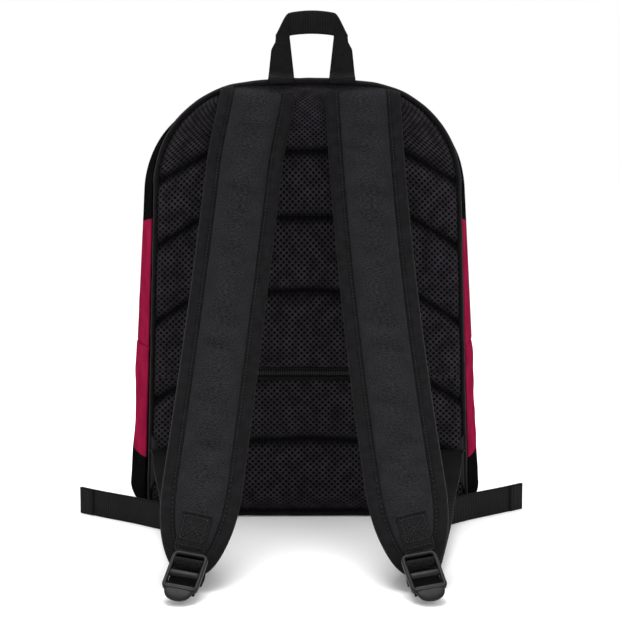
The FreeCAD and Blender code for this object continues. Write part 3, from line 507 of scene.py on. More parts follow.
TAPE_SHORT, TAPE_SLACK = 0.0012, 0.0004
for name, body, near, far in (
    ("rear", "bag", REAR_TAPE_BACK, REAR_TAPE_END - TAPE_SHORT),
    ("front", "front_flap", FLAP_TAPE_START + TAPE_SHORT, FLAP_TAPE_END),
):
    strip = lay((8, 150), arch(near, far, 0.0002, TAPE_SLACK), (0, 0, 1), (0.011, ARCH_LENGTH))
    fit(strip, f"{name}_tape", tape, body, [f"{name}_zip_tape"], TAPE_WALL)
    middle = far + 0.0002 if name == "rear" else near - 0.0002
    row = arch_teeth(middle, 0.0022)
    fit(row, f"{name}_coil", coil, body, [f"{name}_zip_coil"])

# ---------------------------------------------------------------------------------------------
# Front panel: one crowned face of the printed twill, edged with a corded piping. It folds outward
# at the ends of the main zip, where the lower part stays sewn to the base.

FRONT_CROWN, FRONT_INSET, FOLD_GAP = 0.005, 0.001, 0.0003


def crown_rise(v, x, edge):
    """How far a row v of the way up to the crown stands over its ends, at x off the middle."""
    return ease(v) * (math.sqrt(CROWN_TURN**2 - x * x) - math.sqrt(CROWN_TURN**2 - edge**2))


def panel_face(low, high, depth, inset, crown):
    """The face inside the outline between two heights; high None runs it up to the crown."""

    def place(u, v):
        start = FOOT if low <= 0 else share_at(low, depth)
        s = mix(start, TOP if high is None else share_at(high, depth), v)
        edge = bag_spot(1, s, depth, -inset)
        across = 2 * u - 1
        x = edge.x * across
        z = edge.z + (crown_rise(v, x, edge.x) if high is None else 0.0)
        dome = (1 - across**4) * ease(z / 0.05) * ease((0.41 - z) / 0.06)
        return Vector((x, depth + crown * dome + rumple(Vector((x, 0.3, z)), 0.06, 0.0012), z))

    return place


upper = panel_face(FOLD + FOLD_GAP, None, PANEL_FRONT, FRONT_INSET, FRONT_CROWN)
upper = lay((60, 70), upper, (0, 1, 0), (0.3, 0.23))
fit(
    upper, "front_panel_upper_cloth", printed, "front_flap",
    ["front_panel_upper"], CLOTH,
)
lower = panel_face(0, FOLD, PANEL_FRONT, FRONT_INSET, FRONT_CROWN)
lower = lay((60, 50), lower, (0, 1, 0), (0.32, 0.165))
fit(lower, "front_panel_lower_cloth", printed, "bag", ["front_panel_lower"], CLOTH)

binding = Finish("binding_tape", 0.8, Sheen_Weight=0.03, Sheen_Roughness=0.4, Specular_IOR_Level=0.06)
u, v, _ = binding.parts(binding.cloth_spot())
ribs = v.wave(0.0012)
uneven = binding.cloudy(binding.spot(), 130, 3.0)
binding.colour(
    binding.blend((ribs * 0.25 + uneven).held(0.2, 0.9), dye(9, 9, 10), dye(24, 24, 26))
)
binding.relief(ribs * 0.5 + 0.5, 0.00025, 0.7)

CORD = 0.0016


def cord_round(path, radius):
    """A closed tube about a path: path(v) gives its middle and the two ways across it."""

    def place(u, v):
        middle, first, second = path(v)
        angle = 2 * math.pi * u
        return middle + (first * math.cos(angle) + second * math.sin(angle)) * radius

    return place


def piping_path(start, end):
    """Along the front edge of the right or whole outline, from share start to share end."""

    def path(v):
        along = mix(start, end, v)
        side, s = (1, along) if 0 <= along <= 1 else (-1, 2 - along if along > 1 else -along)
        edge, facing = outline_edge(PANEL_FRONT, s)
        edge = edge - facing * CORD
        middle = Vector((side * edge.x, PANEL_FRONT + 0.0007, edge.y))
        return middle, Vector((side * facing.x, 0, facing.y)), Vector((0, 1, 0))

    return path


fold_share = share_at(FOLD, PANEL_FRONT)
upper_cord = cord_round(piping_path(fold_share, 2 - fold_share), CORD)
upper_cord = lay((8, 180), upper_cord, (0, 1, 0), (0.01, 0.86), True)
fit(
    upper_cord, "front_piping_upper_cord", binding, "front_flap",
    ["front_piping_upper"],
)
lower_cord = cord_round(piping_path(-fold_share, fold_share), CORD)
lower_cord = lay((8, 150), lower_cord, (0, 1, 0), (0.01, 0.6), True)
fit(lower_cord, "front_piping_lower_cord", binding, "bag", ["front_piping_lower"])

# ---------------------------------------------------------------------------------------------
# Front pocket: a bellows of the same twill on the lower front, sewn round its edge, with a straight
# zip across its face near the top.

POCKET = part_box("front_pocket_panel")
POCKET_FACE = POCKET[1].y
POCKET_TURN, POCKET_ROLL, ROLL_REACH = 0.018, 0.003, 0.006
POCKET_MIDDLE = (POCKET[0].z + POCKET[1].z) / 2
POCKET_HALF_WIDE, POCKET_HALF_HIGH = POCKET[1].x, (POCKET[1].z - POCKET[0].z) / 2
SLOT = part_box("front_pocket_zip_tape")
ZIP_MIDDLE = (SLOT[0].z + SLOT[1].z) / 2


def rounded_square(u, half_width, half_height, turn):
    """A point round a rectangle with turned corners, u from 0 to 1, as (x, z) from its middle."""
    angle = 2 * math.pi * u
    x, z = math.cos(angle), math.sin(angle)
    straight = (half_width - turn, half_height - turn)
    reach = min(half_width / max(abs(x), 1e-9), half_height / max(abs(z), 1e-9))
    px, pz = x * reach, z * reach
    cx, cz = max(min(px, straight[0]), -straight[0]), max(min(pz, straight[1]), -straight[1])
    off = Vector((px - cx, pz - cz))
    if off.length > turn:
        off = off.normalized() * turn
    return cx + off.x, cz + off.y


def pocket_wall(u, v):
    swell = 0.002 * math.sin(math.pi * v)
    x, z = rounded_square(u, POCKET_HALF_WIDE + swell, POCKET_HALF_HIGH + swell, POCKET_TURN)
    return Vector((x, mix(PANEL_FRONT, POCKET_FACE - POCKET_ROLL, v), z + POCKET_MIDDLE))


def joined(bm):
    """Joins a sheet that goes once round into a ring that faces outward."""
    bmesh.ops.remove_doubles(bm, verts=bm.verts[:], dist=WELD)
    bmesh.ops.recalc_face_normals(bm, faces=bm.faces[:])
    return bm


walls = joined(lay((160, 8), pocket_wall, (1, 0, 0), (0.74, 0.025)))
fit(walls, "front_pocket_wall", printed, "bag", (), 0.0012)


def edge_roll(edge):
    """How far the pocket's face has rolled back, by the distance to its edge."""
    return POCKET_ROLL * (1 - math.sqrt(max(1 - max(1 - edge / ROLL_REACH, 0) ** 2, 0)))


def pocket_face(low, high):
    """The pocket's crowned face between two heights; its edge rolls back to the walls."""

    def place(u, v):
        z = mix(low, high, v)
        over = max(abs(z - POCKET_MIDDLE) - (POCKET_HALF_HIGH - POCKET_TURN), 0)
        reach = POCKET_HALF_WIDE - POCKET_TURN + math.sqrt(max(POCKET_TURN**2 - over**2, 0))
        across = 2 * u - 1
        x = reach * across
        edge = min(reach - abs(x), POCKET_HALF_HIGH - abs(z - POCKET_MIDDLE))
        roll = edge_roll(edge)
        dome = 0.0028 * (1 - across**4) * ease((z - POCKET[0].z) / 0.05)
        away = ease(abs(z - ZIP_MIDDLE) / 0.02)
        sag = rumple(Vector((x, 0.5, z)), 0.05, 0.0012) * away * ease(edge / 0.02)
        return Vector((x, POCKET_FACE - roll + (dome * away + sag), z))

    return place


below = lay((70, 44), pocket_face(POCKET[0].z, SLOT[0].z + 0.0012), (0, 1, 0), (0.25, 0.117))
fit(below, "front_pocket_face", printed, "bag", ["front_pocket_panel"], CLOTH)
above = lay((70, 8), pocket_face(SLOT[1].z - 0.0012, POCKET[1].z), (0, 1, 0), (0.25, 0.01))
fit(above, "front_pocket_top", printed, "bag", (), CLOTH)


def flat_strip(low, high, half, depth, out):
    """A straight strip on its face: low to high, half wide to each side."""

    def place(u, v):
        return Vector((mix(-half, half, u), depth, mix(low, high, v)))

    return lay((80, 3), place, (0, out, 0), (high - low, 2 * half))


def straight_teeth(height, depth, half, out):
    places = []
    for i in range(int(2 * half / COIL_PITCH)):
        middle = Vector(((i + 0.5) * COIL_PITCH - half, depth, height))
        places.append((middle, Vector((1, 0, 0)), Vector((0, out, 0))))
    return teeth(places, 0.0044)


POCKET_HALF = SLOT[1].x
tapes = flat_strip(SLOT[0].z - 0.002, SLOT[1].z + 0.002, POCKET_HALF + 0.002, SLOT[1].y, 1)
fit(tapes, "pocket_tape", tape, "bag", ["front_pocket_zip_tape"], TAPE_WALL)
row = straight_teeth(ZIP_MIDDLE, SLOT[1].y + 0.0005, POCKET_HALF, 1)
fit(row, "pocket_coil", coil, "bag", ["front_pocket_zip_coil"])


def zip_end(u, v):
    """The cloth between the zip's end and the pocket's wall."""
    x = mix(POCKET_HALF, POCKET[1].x, u)
    z = mix(SLOT[0].z - 0.0006, SLOT[1].z + 0.0006, v)
    return Vector((x, POCKET_FACE + 0.0003 - edge_roll(POCKET[1].x - x), z))


ends = lay((16, 10), zip_end, (0, 1, 0), (0.017, 0.01))
bmesh.ops.duplicate(ends, geom=ends.verts[:] + ends.edges[:] + ends.faces[:])
half_count = len(ends.verts) // 2
ends.verts.ensure_lookup_table()
for vert in ends.verts[half_count:]:
    vert.co.x *= -1
bmesh.ops.recalc_face_normals(ends, faces=ends.faces[:])
for face in ends.faces:
    if face.normal.y < 0:
        face.normal_flip()
fit(ends, "front_pocket_zip_ends", printed, "bag", (), 0.0015)

# ---------------------------------------------------------------------------------------------
# Lining: thin silky cloth hung inside the shell, split with the shell at the zip and the fold, and a
# flat sheet of it over the foam board behind the padded back.

silk = Finish("lining_cloth", 0.45, Sheen_Weight=0.03, Specular_IOR_Level=0.25)
u, v, _ = silk.parts(silk.cloth_spot())
cross = u.wave(0.0006) * v.wave(0.0006)
uneven = silk.cloudy(silk.spot(), 30)
silk.colour(silk.blend(uneven.held(0.3, 0.7), dye(22, 22, 25), dye(34, 34, 37)))
silk.relief(cross, 0.0001, 0.5)
SILK, LINING_IN, SHEET_INSET = 0.0006, 0.0024, 0.006
LINING_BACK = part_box("back_lining")[0].y
LINING_FRONT = PANEL_FRONT - 0.002
FACE_IN, FACE_SMALLER, FACE_CROWN = PANEL_FRONT - LINING_IN, 0.004, 0.003
rear = arch(LINING_BACK, REAR_TAPE_END, -LINING_IN, 0.001)
rear = lay((26, 120), rear, (0, 0, 1), (0.055, 0.85))
fit(rear, "lining_rear_cloth", silk, "bag", ["lining_rear"], SILK)
edge = arch(FLAP_TAPE_START, LINING_FRONT, -LINING_IN, 0.001)
edge = lay((16, 120), edge, (0, 0, 1), (0.04, 0.85))
fit(edge, "lining_flap_edge", silk, "front_flap", ["lining_flap"], SILK)
face = panel_face(FOLD + FOLD_GAP, None, FACE_IN, FACE_SMALLER, FACE_CROWN)
face = lay((50, 60), face, (0, 1, 0), (0.3, 0.23))
fit(face, "lining_flap_face", silk, "front_flap", (), SILK)
face = panel_face(0, FOLD, FACE_IN, FACE_SMALLER, FACE_CROWN)
face = lay((50, 30), face, (0, 1, 0), (0.3, 0.16))
fit(face, "lining_lower_face", silk, "bag", (), SILK)


def lining_cup(u, v):
    """Round the lower shell from the left fold under the base to the right fold."""
    depth = mix(LINING_BACK, PANEL_FRONT - 0.002, u)
    along = 2 * v - 1
    side = 1 if along >= 0 else -1
    return bag_spot(side, share_at(FOLD, depth) * abs(along), depth, -LINING_IN)


cup = lay((20, 120), lining_cup, (0, 0, -1), (0.1, 0.62))
fit(cup, "lining_lower_cloth", silk, "bag", ["lining_lower"], SILK)


def back_sheet(depth):
    """A flat sheet at a depth, pulled in from the back outline."""

    def place(u, v):
        edge = bag_spot(1, mix(FOOT, TOP, v), BACK, -SHEET_INSET)
        x = edge.x * (2 * u - 1)
        return Vector((x, depth, edge.z + crown_rise(v, x, edge.x)))

    return place


sheet = lay((30, 40), back_sheet(LINING_BACK), (0, 1, 0), (0.3, 0.4))
fit(sheet, "back_lining_cloth", silk, "bag", ["back_lining"], SILK)

foam = Finish("foam_board", 0.95, Specular_IOR_Level=0.1)
uneven = foam.cloudy(foam.spot(), 700)
foam.colour(foam.blend(uneven.held(0.35, 0.65), dye(46, 46, 48), dye(66, 66, 70)))
foam.relief(foam.cloudy(foam.spot(), 1500), 0.0003, 0.6)
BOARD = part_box("back_foam_board")
sheet = lay((30, 40), back_sheet(BOARD[1].y), (0, 1, 0), (0.3, 0.4))
fit(sheet, "back_board", foam, "bag", ["back_foam_board"], BOARD[1].y - BOARD[0].y)

# ---------------------------------------------------------------------------------------------
# Laptop sleeve: a padded divider of lining cloth sewn across the bag near its back, quilted in
# upright channels, its top edge bound with tape.

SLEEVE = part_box("laptop_sleeve")
SLEEVE_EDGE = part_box("sleeve_edge_binding")
SLEEVE_DEPTH = (SLEEVE[0].y + SLEEVE[1].y) / 2
CHANNEL = 0.046


def shaped(value, power):
    """A sine or cosine made fuller or flatter, its sign kept."""
    return math.copysign(abs(value) ** power, value)


def sleeve_round(u, v):
    angle = 2 * math.pi * u
    x = (SLEEVE[1].x - 0.001) * min(max(math.cos(angle) * 1.05, -1), 1)
    thick = (SLEEVE[1].y - SLEEVE[0].y) / 2
    channel = 0.7 + 0.3 * abs(math.sin(x / CHANNEL * math.pi))
    y = SLEEVE_DEPTH + thick * channel * shaped(math.sin(angle), 0.35)
    return Vector((x, y, mix(SLEEVE[0].z, SLEEVE_EDGE[1].z - 0.002, v)))


divider = lay((96, 40), sleeve_round, (0, 1, 0), (0.56, 0.29), True)
fit(divider, "laptop_sleeve_pad", silk, "bag", ["laptop_sleeve"], 0)


def sleeve_tape(u, v):
    angle = math.pi * mix(-0.25, 1.25, v)
    middle = Vector((mix(SLEEVE[0].x, SLEEVE[1].x, u), SLEEVE_DEPTH, SLEEVE_EDGE[0].z + 0.003))
    return middle + Vector((0, 0.0026 * math.cos(angle), 0.005 * math.sin(angle)))


top_tape = lay((40, 14), sleeve_tape, (0, 0, 1), (0.276, 0.02))
fit(top_tape, "sleeve_top_tape", binding, "bag", ["sleeve_edge_binding"], 0.0006)

# ---------------------------------------------------------------------------------------------
# Padded back: open air mesh over soft foam, quilted with sunken chevron seams into six pillows, with
# a hidden pocket behind a zip across the lower part.

# sunken seams, each by its height at the middle, at a knee and at the edge, and how far out that
# knee is
SEAMS = (
    (0.351, 0.351, 0.317, 0.089),
    (0.289, 0.289, 0.257, 0.098),
    (0.220, 0.213, 0.185, 0.107),
    (0.140, 0.136, 0.111, 0.106),
    (0.076, 0.070, 0.056, 0.120),
)
EDGE_SIDE = 0.150
SEAM_DEPTH, PILLOW_RISE = 0.0050, 0.0100
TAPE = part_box("hidden_zip_tape")
HIDDEN_HALF = TAPE[1].x
HIDDEN_MIDDLE = (TAPE[0].z + TAPE[1].z) / 2


def mesh_cloth(name, painted_seam_shade):
    """Hexagonal air mesh with open holes; a seam-shaded one has painted shade that darkens it into the
    quilting seams.
    """
    finish = Finish(name, 0.88, Sheen_Weight=0.02, Specular_IOR_Level=0.06)
    spot = finish.cloth_spot()
    u, v, _ = finish.parts(spot)
    hole = (u.wave(0.0058) * v.wave(0.0046)).held(0.05, 0.3)
    yarn = (u + v).wave(0.0009) * (u - v).wave(0.0009)
    # lighter patches of thread: partly the yarn's own uneven tone, partly painted highlight on the
    # threads
    lighter_patches = (yarn * 0.2 + finish.cloudy(spot, 90, 3.0)).held(0.3, 0.8)
    colour = finish.blend(lighter_patches, dye(23, 20, 24), dye(52, 48, 54))
    # painted shade: the holes are coloured near black for the shade inside each open hole
    colour = finish.blend(hole, colour, dye(1, 1, 1))
    # painted shade: within a few millimetres of each sunken seam the mesh is blended to near black, for
    # the shade in the creases
    if painted_seam_shade:
        x, _, z = finish.parts(finish.spot())
        off, clear_of_seam_shade = abs(x), 1.0
        for middle, knee, edge, out in SEAMS:
            line = middle + off.held(0, out) * (knee - middle)
            line = line + off.held(out, EDGE_SIDE) * (edge - knee)
            clear_of_seam_shade = abs(z - line).held(0.0006, 0.0085) * clear_of_seam_shade
        colour = finish.blend(clear_of_seam_shade.held(0.0, 0.8), dye(5, 4, 5), colour)
    finish.colour(colour)
    finish.relief(1 - hole + yarn * 0.08, 0.0012, 0.9)
    return finish


air_mesh = mesh_cloth("air_mesh", False)
# the quilted mesh carries painted shade along its seams
quilted_mesh = mesh_cloth("quilted_mesh", True)


def seam_height(seam, x):
    middle, knee, edge, out = seam
    x = abs(x)
    if x < out:
        return mix(middle, knee, x / out)
    return mix(knee, edge, (x - out) / (EDGE_SIDE - out))


def pillow(x, z, rim):
    """How far the mesh stands off the bag's back plane; rim is the distance to the binding."""
    lines = sorted(seam_height(seam, x) for seam in SEAMS)
    gap = min((abs(z - line), line) for line in lines)[0]
    above = min([line for line in lines if line > z], default=0.44)
    below = max([line for line in lines if line <= z], default=-0.02)
    span = (z - below) / (above - below)
    dome = (4 * span * (1 - span)) ** 0.55
    crease = 1 - math.exp(-((gap / 0.0050) ** 2))
    ridge = 0.0011 * math.exp(-((gap / 0.0014) ** 2))
    puff = PILLOW_RISE * (0.35 + 0.65 * dome) * crease
    edge = 1 - math.exp(-((rim / 0.005) ** 2)) if rim > 0 else 0
    soft = rumple(Vector((x, 0, z)), 0.03, 0.0008) * crease
    pucker = 0.0005 * math.sin(x / 0.0055) * math.exp(-((gap / 0.009) ** 2)) * crease
    return (puff + soft + pucker) * edge + ridge - SEAM_DEPTH


MESH_INSET = 0.0045


def mesh_inset(s):
    """How far the mesh stops inside the outline: under the binding above, over it down the sides."""
    return MESH_INSET - 0.0035 * ease((0.385 - outline_edge(BACK, s)[0].y) / 0.07)


def back_mesh(low, high):
    """The mesh between two heights of the back; high None runs it up to the crown."""

    def place(u, v):
        bottom = FOOT if low is None else share_at(low, BACK)
        s = mix(bottom, TOP if high is None else share_at(high, BACK), v)
        edge = bag_spot(1, s, BACK, -mesh_inset(s))
        across = 2 * u - 1
        x = edge.x * across
        z = edge.z + (crown_rise(v, x, edge.x) if high is None else 0.0)
        rim_above = CROWN - MESH_INSET - x * x / (2 * CROWN_TURN) - z
        rim = min(edge.x - abs(x), rim_above, z - MESH_INSET)
        return Vector((x, BACK - pillow(x, z, rim), z))

    return place


upper = lay((170, 150), back_mesh(TAPE[1].z - 0.001, None), (0, -1, 0), (0.304, 0.275))
fit(
    upper, "back_mesh_upper_quilt", quilted_mesh, "bag",
    ["back_mesh_upper"], 0.002,
)
lower = lay((170, 84), back_mesh(None, TAPE[0].z + 0.001), (0, -1, 0), (0.304, 0.136))
fit(
    lower, "back_mesh_lower_quilt", quilted_mesh, "bag",
    ["back_mesh_lower"], 0.002,
)


def zip_wing(side):
    """The mesh beside the hidden zip, which joins the upper and the lower quilt."""

    def place(u, v):
        z = mix(TAPE[0].z + 0.001, TAPE[1].z - 0.001, v)
        edge = bag_spot(1, share_at(z, BACK), BACK, -mesh_inset(share_at(z, BACK))).x
        x = side * mix(HIDDEN_HALF, edge, u)
        return Vector((x, BACK - pillow(x, z, edge - abs(x)), z))

    return place


for hand, side in SIDES.items():
    wing = lay((34, 8), zip_wing(side), (0, -1, 0), (0.06, 0.008))
    fit(wing, f"back_mesh_wing_{hand}", quilted_mesh, "bag", (), 0.002)

# ---------------------------------------------------------------------------------------------
# Edge binding: grosgrain tape folded over the seam that joins the padded back to the gussets, all
# round the back.

TAPE_WIDE, TAPE_DEEP = 0.0052, 0.0076


def bound_edge(u, v):
    """v goes round the whole outline, u over the tape from the mesh to the gusset."""
    along = 2 * v
    side, s = (1, along) if along <= 1 else (-1, 2 - along)
    angle = math.pi * u
    inset = TAPE_WIDE / 2 * (1 + math.cos(angle))
    depth = BACK + TAPE_DEEP - (TAPE_DEEP + 0.0016) * math.sin(angle) ** 0.7
    wander = noise.noise(Vector((side * 3.0, s * 40, 1.0))) * 0.0005
    edge, facing = outline_edge(BACK, s)
    edge = edge - facing * (inset - wander)
    return Vector((side * edge.x, depth if u > 0.5 else min(depth, BACK + 0.002), edge.y))


edging = lay((10, 420), bound_edge, (0, -1, 0), (0.014, 1.32))
bmesh.ops.remove_doubles(edging, verts=edging.verts[:], dist=WELD)
fit(edging, "back_edge_tape", binding, "bag", ["back_edge_binding"], 0.001)

# ---------------------------------------------------------------------------------------------
# Hidden pocket: a zip let into the quilt under two narrow welts, and a flat pouch of lining cloth
# behind it.

tapes = flat_strip(TAPE[0].z - 0.0015, TAPE[1].z + 0.0015, HIDDEN_HALF + 0.002, TAPE[0].y, -1)
fit(tapes, "hidden_tape", tape, "bag", ["hidden_zip_tape"], TAPE_WALL)
row = straight_teeth(HIDDEN_MIDDLE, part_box("hidden_zip_coil")[0].y + 0.0006, HIDDEN_HALF, -1)
fit(row, "hidden_coil", coil, "bag", ["hidden_zip_coil"])


def welt_path(height):
    def path(v):
        x = mix(-HIDDEN_HALF - 0.003, HIDDEN_HALF + 0.003, v)
        return Vector((x, BACK - 0.0004, height)), Vector((0, 1, 0)), Vector((0, 0, 1))

    return path


for name, height in (("lower", TAPE[0].z + 0.0004), ("upper", TAPE[1].z - 0.0004)):
    welt = lay((8, 70), cord_round(welt_path(height), 0.0013), (0, -1, 0), (0.008, 0.19), True)
    fit(welt, f"hidden_zip_welt_{name}", binding, "bag")

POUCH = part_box("hidden_pocket_pouch")


def pouch_round(u, v):
    x, y = rounded_square(u, POUCH[1].x - 0.001, (POUCH[1].y - POUCH[0].y) / 2 - 0.0004, 0.003)
    return Vector((x, y + (POUCH[0].y + POUCH[1].y) / 2, mix(POUCH[0].z, POUCH[1].z - 0.001, v)))


pouch = joined(lay((80, 20), pouch_round, (0, 1, 0), (0.43, 0.13)))
fit(pouch, "hidden_pouch_cloth", silk, "bag", ["hidden_pocket_pouch"], SILK)

# ---------------------------------------------------------------------------------------------
# Haul loop: one length of ribbed webbing sewn in under the binding, folded over at both top corners
# so that it stands up as a grip.

webbing = Finish(
    "ribbed_webbing", 0.62, Sheen_Weight=0.02, Sheen_Roughness=0.4, Specular_IOR_Level=0.08
)
u, v, _ = webbing.parts(webbing.cloth_spot())
rib = v.wave(0.0021)
selvedge = abs(u) > 0.0112
uneven = webbing.cloudy(webbing.spot(), 150, 3.0)
face = webbing.blend((rib * 0.3 + uneven).held(0.1, 0.95), dye(4, 4, 4), dye(17, 17, 19))
webbing.colour(webbing.blend(selvedge, face, dye(4, 4, 4)))
webbing.relief(rib * 0.35 + 0.5 - selvedge * 0.4, 0.0005, 0.8)

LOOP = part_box("haul_loop")
LOOP_MIDDLE = (LOOP[0].x + LOOP[1].x) / 2
LOOP_HALF = (LOOP[1].x - LOOP[0].x) / 2
LOOP_DEPTH = (LOOP[0].y + LOOP[1].y) / 2
LOOP_BASE, LOOP_TOP = LOOP[0].z, LOOP[1].z
WEB = 0.0254


def along_line(points, share):
    """A point a share of the way along a line of straight runs."""
    points = [Vector(p) for p in points]
    lengths = [(b - a).length for a, b in zip(points, points[1:])]
    left = share * sum(lengths)
    for a, b, length in zip(points, points[1:], lengths):
        if left <= length:
            return a.lerp(b, left / length)
        left -= length
    return points[-1]


LEG_TOP = mix(LOOP_BASE, LOOP_TOP, 0.40)


LEG_FOOT = LOOP_BASE - 0.0065
LEG_OUTER = (
    (LOOP_HALF, LEG_FOOT), (LOOP_HALF * 0.92, LEG_TOP), (LOOP_HALF * 0.50, LOOP_TOP - 0.004),
)
LEG_INNER = (
    (LOOP_HALF - WEB, LEG_FOOT),
    (LOOP_HALF * 0.50, LOOP_TOP - 0.0235), (LOOP_HALF * 0.47, LOOP_TOP - 0.0225),
)


def loop_leg(side):
    """A leg between its two edges, from under the binding up to the grip."""

    def place(u, v):
        x1, z1 = along_line(LEG_OUTER, v)
        x2, z2 = along_line(LEG_INNER, v)
        x, z = mix(x2, x1, u), mix(z2, z1, u)
        off = mix(0.0004, -0.0011, ease(v * 1.5)) + 0.0016 * ease((v - 0.86) / 0.14)
        lap = 0.0062 * ease((LOOP_BASE + 0.004 - z) / 0.007)
        bow = 0.0012 * math.sin(math.pi * u) * math.sin(math.pi * v)
        return Vector((LOOP_MIDDLE + side * x, LOOP_DEPTH + off - bow - lap, z))

    return place


for hand, side in SIDES.items():
    leg = lay((16, 40), loop_leg(side), (0, -1, 0), (WEB, 0.06))
    sewn_in = (LOOP_MIDDLE + side * LOOP_HALF, LOOP_DEPTH, LOOP_BASE - 0.004)
    free = (sewn_in[0], LOOP_DEPTH, LOOP_BASE + 0.004)
    bends = ("bag", "haul_loop", sewn_in, free)
    fit(leg, f"haul_loop_leg_{hand}", webbing, bends, (), 0.0013)


def grip(u, v):
    """The top of the loop, bowed up in the middle, its ends tucked behind the legs."""
    across = 2 * v - 1
    x = LOOP_HALF * 0.82 * across
    crown = 0.0055 * (1 - across**2)
    top = LOOP_TOP - 0.0055 + crown - 0.020 * ease((abs(across) - 0.62) / 0.5)
    low = LOOP_TOP - 0.0262 + 0.0045 * (1 - across**2) - 0.004 * ease((abs(across) - 0.62) / 0.4)
    lean = 0.0012 * ease((abs(across) - 0.45) / 0.3)
    depth = LOOP_DEPTH + lean - 0.0015 * math.sin(math.pi * u) ** 0.7
    return Vector((LOOP_MIDDLE + x, depth, mix(low, top, u)))


band = lay((16, 60), grip, (0, -1, 0), (WEB, 0.062))
fit(band, "haul_loop_grip", webbing, "haul_loop", ["haul_loop"], 0.0014)

# ---------------------------------------------------------------------------------------------
# Shoulder straps: foam under fine twill, air mesh beneath, the edge wrapped in wide tape with one row
# of stitches. Each hangs from under the top binding, curves out and ends round under its lock.

strap_twill = Finish(
    "strap_twill", 0.8, Sheen_Weight=0.03, Sheen_Roughness=0.45, Specular_IOR_Level=0.06
)
spot = strap_twill.cloth_spot()
u, v, _ = strap_twill.parts(spot)
twill = (u + v).wave(0.0011) * (v - u * 0.4).wave(0.0016)
uneven = strap_twill.cloudy(spot, 900, 2.0) * 0.8 + strap_twill.cloudy(spot, 60, 2.0) * 0.2
strap_twill.colour(
    strap_twill.blend((twill * 0.1 + uneven).held(0.36, 0.64), dye(9, 9, 10), dye(38, 38, 41))
)
strap_twill.relief(twill * 0.35 + uneven, 0.0003, 0.8)

SEAM_OUT, SEAM_HEIGHT = 0.0016, 0.414
TOP_LEAN, LOW_LEAN, STRAP_BEND = math.radians(16), math.radians(45), 0.815
BEND_LENGTH = STRAP_BEND * (LOW_LEAN - TOP_LEAN)
STRAP_END, STRAP_TIP, TIP_POWER = 0.480, 0.090, 2.2
STRAP_TOP_HALF, STRAP_LOW_HALF = 0.0355, 0.0345
EDGE_TAPE = 0.0135
# how far each strap's centre is off the middle at the seam, half way and at the lower end
SET = {"left": (0.050, 0.070, 0.094), "right": (0.051, 0.064, 0.090)}
FLARE = {"left": 0.005, "right": 0.0}
SET_HEIGHTS = (SEAM_HEIGHT, 0.235, 0.028)


def strap_middle(hand, t):
    """The strap's centre line, t metres below the seam."""
    lean = TOP_LEAN + min(t, BEND_LENGTH) / STRAP_BEND
    straight = max(t - BEND_LENGTH, 0)
    out = SEAM_OUT + STRAP_BEND * (math.cos(TOP_LEAN) - math.cos(lean)) + straight * math.sin(LOW_LEAN)
    height = SEAM_HEIGHT - STRAP_BEND * (math.sin(lean) - math.sin(TOP_LEAN))
    height -= straight * math.cos(LOW_LEAN)
    a, b, c = SET_HEIGHTS
    offs = SET[hand]
    off = (
        offs[0] * (height - b) * (height - c) / ((a - b) * (a - c))
        + offs[1] * (height - a) * (height - c) / ((b - a) * (b - c))
        + offs[2] * (height - a) * (height - b) / ((c - a) * (c - b))
    )
    off -= FLARE[hand] * (1 - ease(t / 0.08))
    return Vector((SIDES[hand] * off, BACK - out, height))


def strap_spot(hand, t, across, rise):
    """A point of the strap: across from its centre line, and rise off its middle towards the front."""
    step = 0.002
    run = (strap_middle(hand, t + step) - strap_middle(hand, t - step)).normalized()
    face = run.cross(Vector((1, 0, 0))).normalized()
    width = face.cross(run)
    tuck = 0.0032 * ease((t - 0.448) / 0.03) + 0.0045 * (1 - ease((t + 0.002) / 0.016))
    return strap_middle(hand, t) + width * across + face * (rise - tuck)


def crown_over(x):
    """The height of the bag's outline over a place on its back."""
    low, high = HIGH, 1.0
    for _ in range(20):
        s = (low + high) / 2
        low, high = (s, high) if outline_edge(BACK, s)[0].x > abs(x) else (low, s)
    return outline_edge(BACK, s)[0].y


BOUND = 0.0045


def strap_start(hand, across):
    """How far down a strap comes out from under the binding, at a place across it."""
    x = strap_middle(hand, 0).x + across
    return max((SEAM_HEIGHT - crown_over(x) + BOUND) / math.cos(TOP_LEAN), -0.004)


def strap_half(t, inset=0.0):
    """Half the width t metres down, drawn in by inset; it closes in a rounded end."""
    half = mix(STRAP_TOP_HALF, STRAP_LOW_HALF, t / STRAP_END) - inset
    left, tip = STRAP_END - inset - t, STRAP_TIP - inset
    if left < tip:
        half *= (1 - (1 - max(left, 0) / tip) ** TIP_POWER) ** (1 / TIP_POWER)
    return half


def strap_full(t):
    """How full the strap is: flat where it is sewn in and thin under the lock."""
    return (0.2 + 0.8 * ease((t + 0.004) / 0.04)) * (1 - 0.55 * ease((t - 0.44) / 0.035))


# soft creases where a strap has been folded: how far down, how far across, how deep
CREASES = {
    "left": (
        (0.107, -0.5, 0.0009), (0.125, 0.3, 0.0008), (0.238, 0.6, 0.0010),
        (0.262, -0.1, 0.0013), (0.360, 0.2, 0.0010),
    ),
    "right": (
        (0.068, -0.7, 0.0015), (0.110, 0.8, 0.0008), (0.155, -0.6, 0.0008),
        (0.240, 0.1, 0.0011), (0.262, 0.7, 0.0017), (0.320, -0.4, 0.0008),
        (0.352, 0.6, 0.0010), (0.376, -0.2, 0.0013), (0.400, 0.7, 0.0009),
    ),
}


CREASE_WIDE, CREASE_GAIN = 0.0042, 1.4


def strap_dent(hand, t, share):
    deep = rumple(Vector((share * 0.03, t, SIDES[hand])), 0.035, 0.0006)
    for down, where, depth in CREASES[hand]:
        from_fold = (t - down - share * 0.006) / CREASE_WIDE
        off_end = (share - where) / 0.7
        deep -= CREASE_GAIN * depth * math.exp(-(from_fold**2) - off_end**2)
    return deep


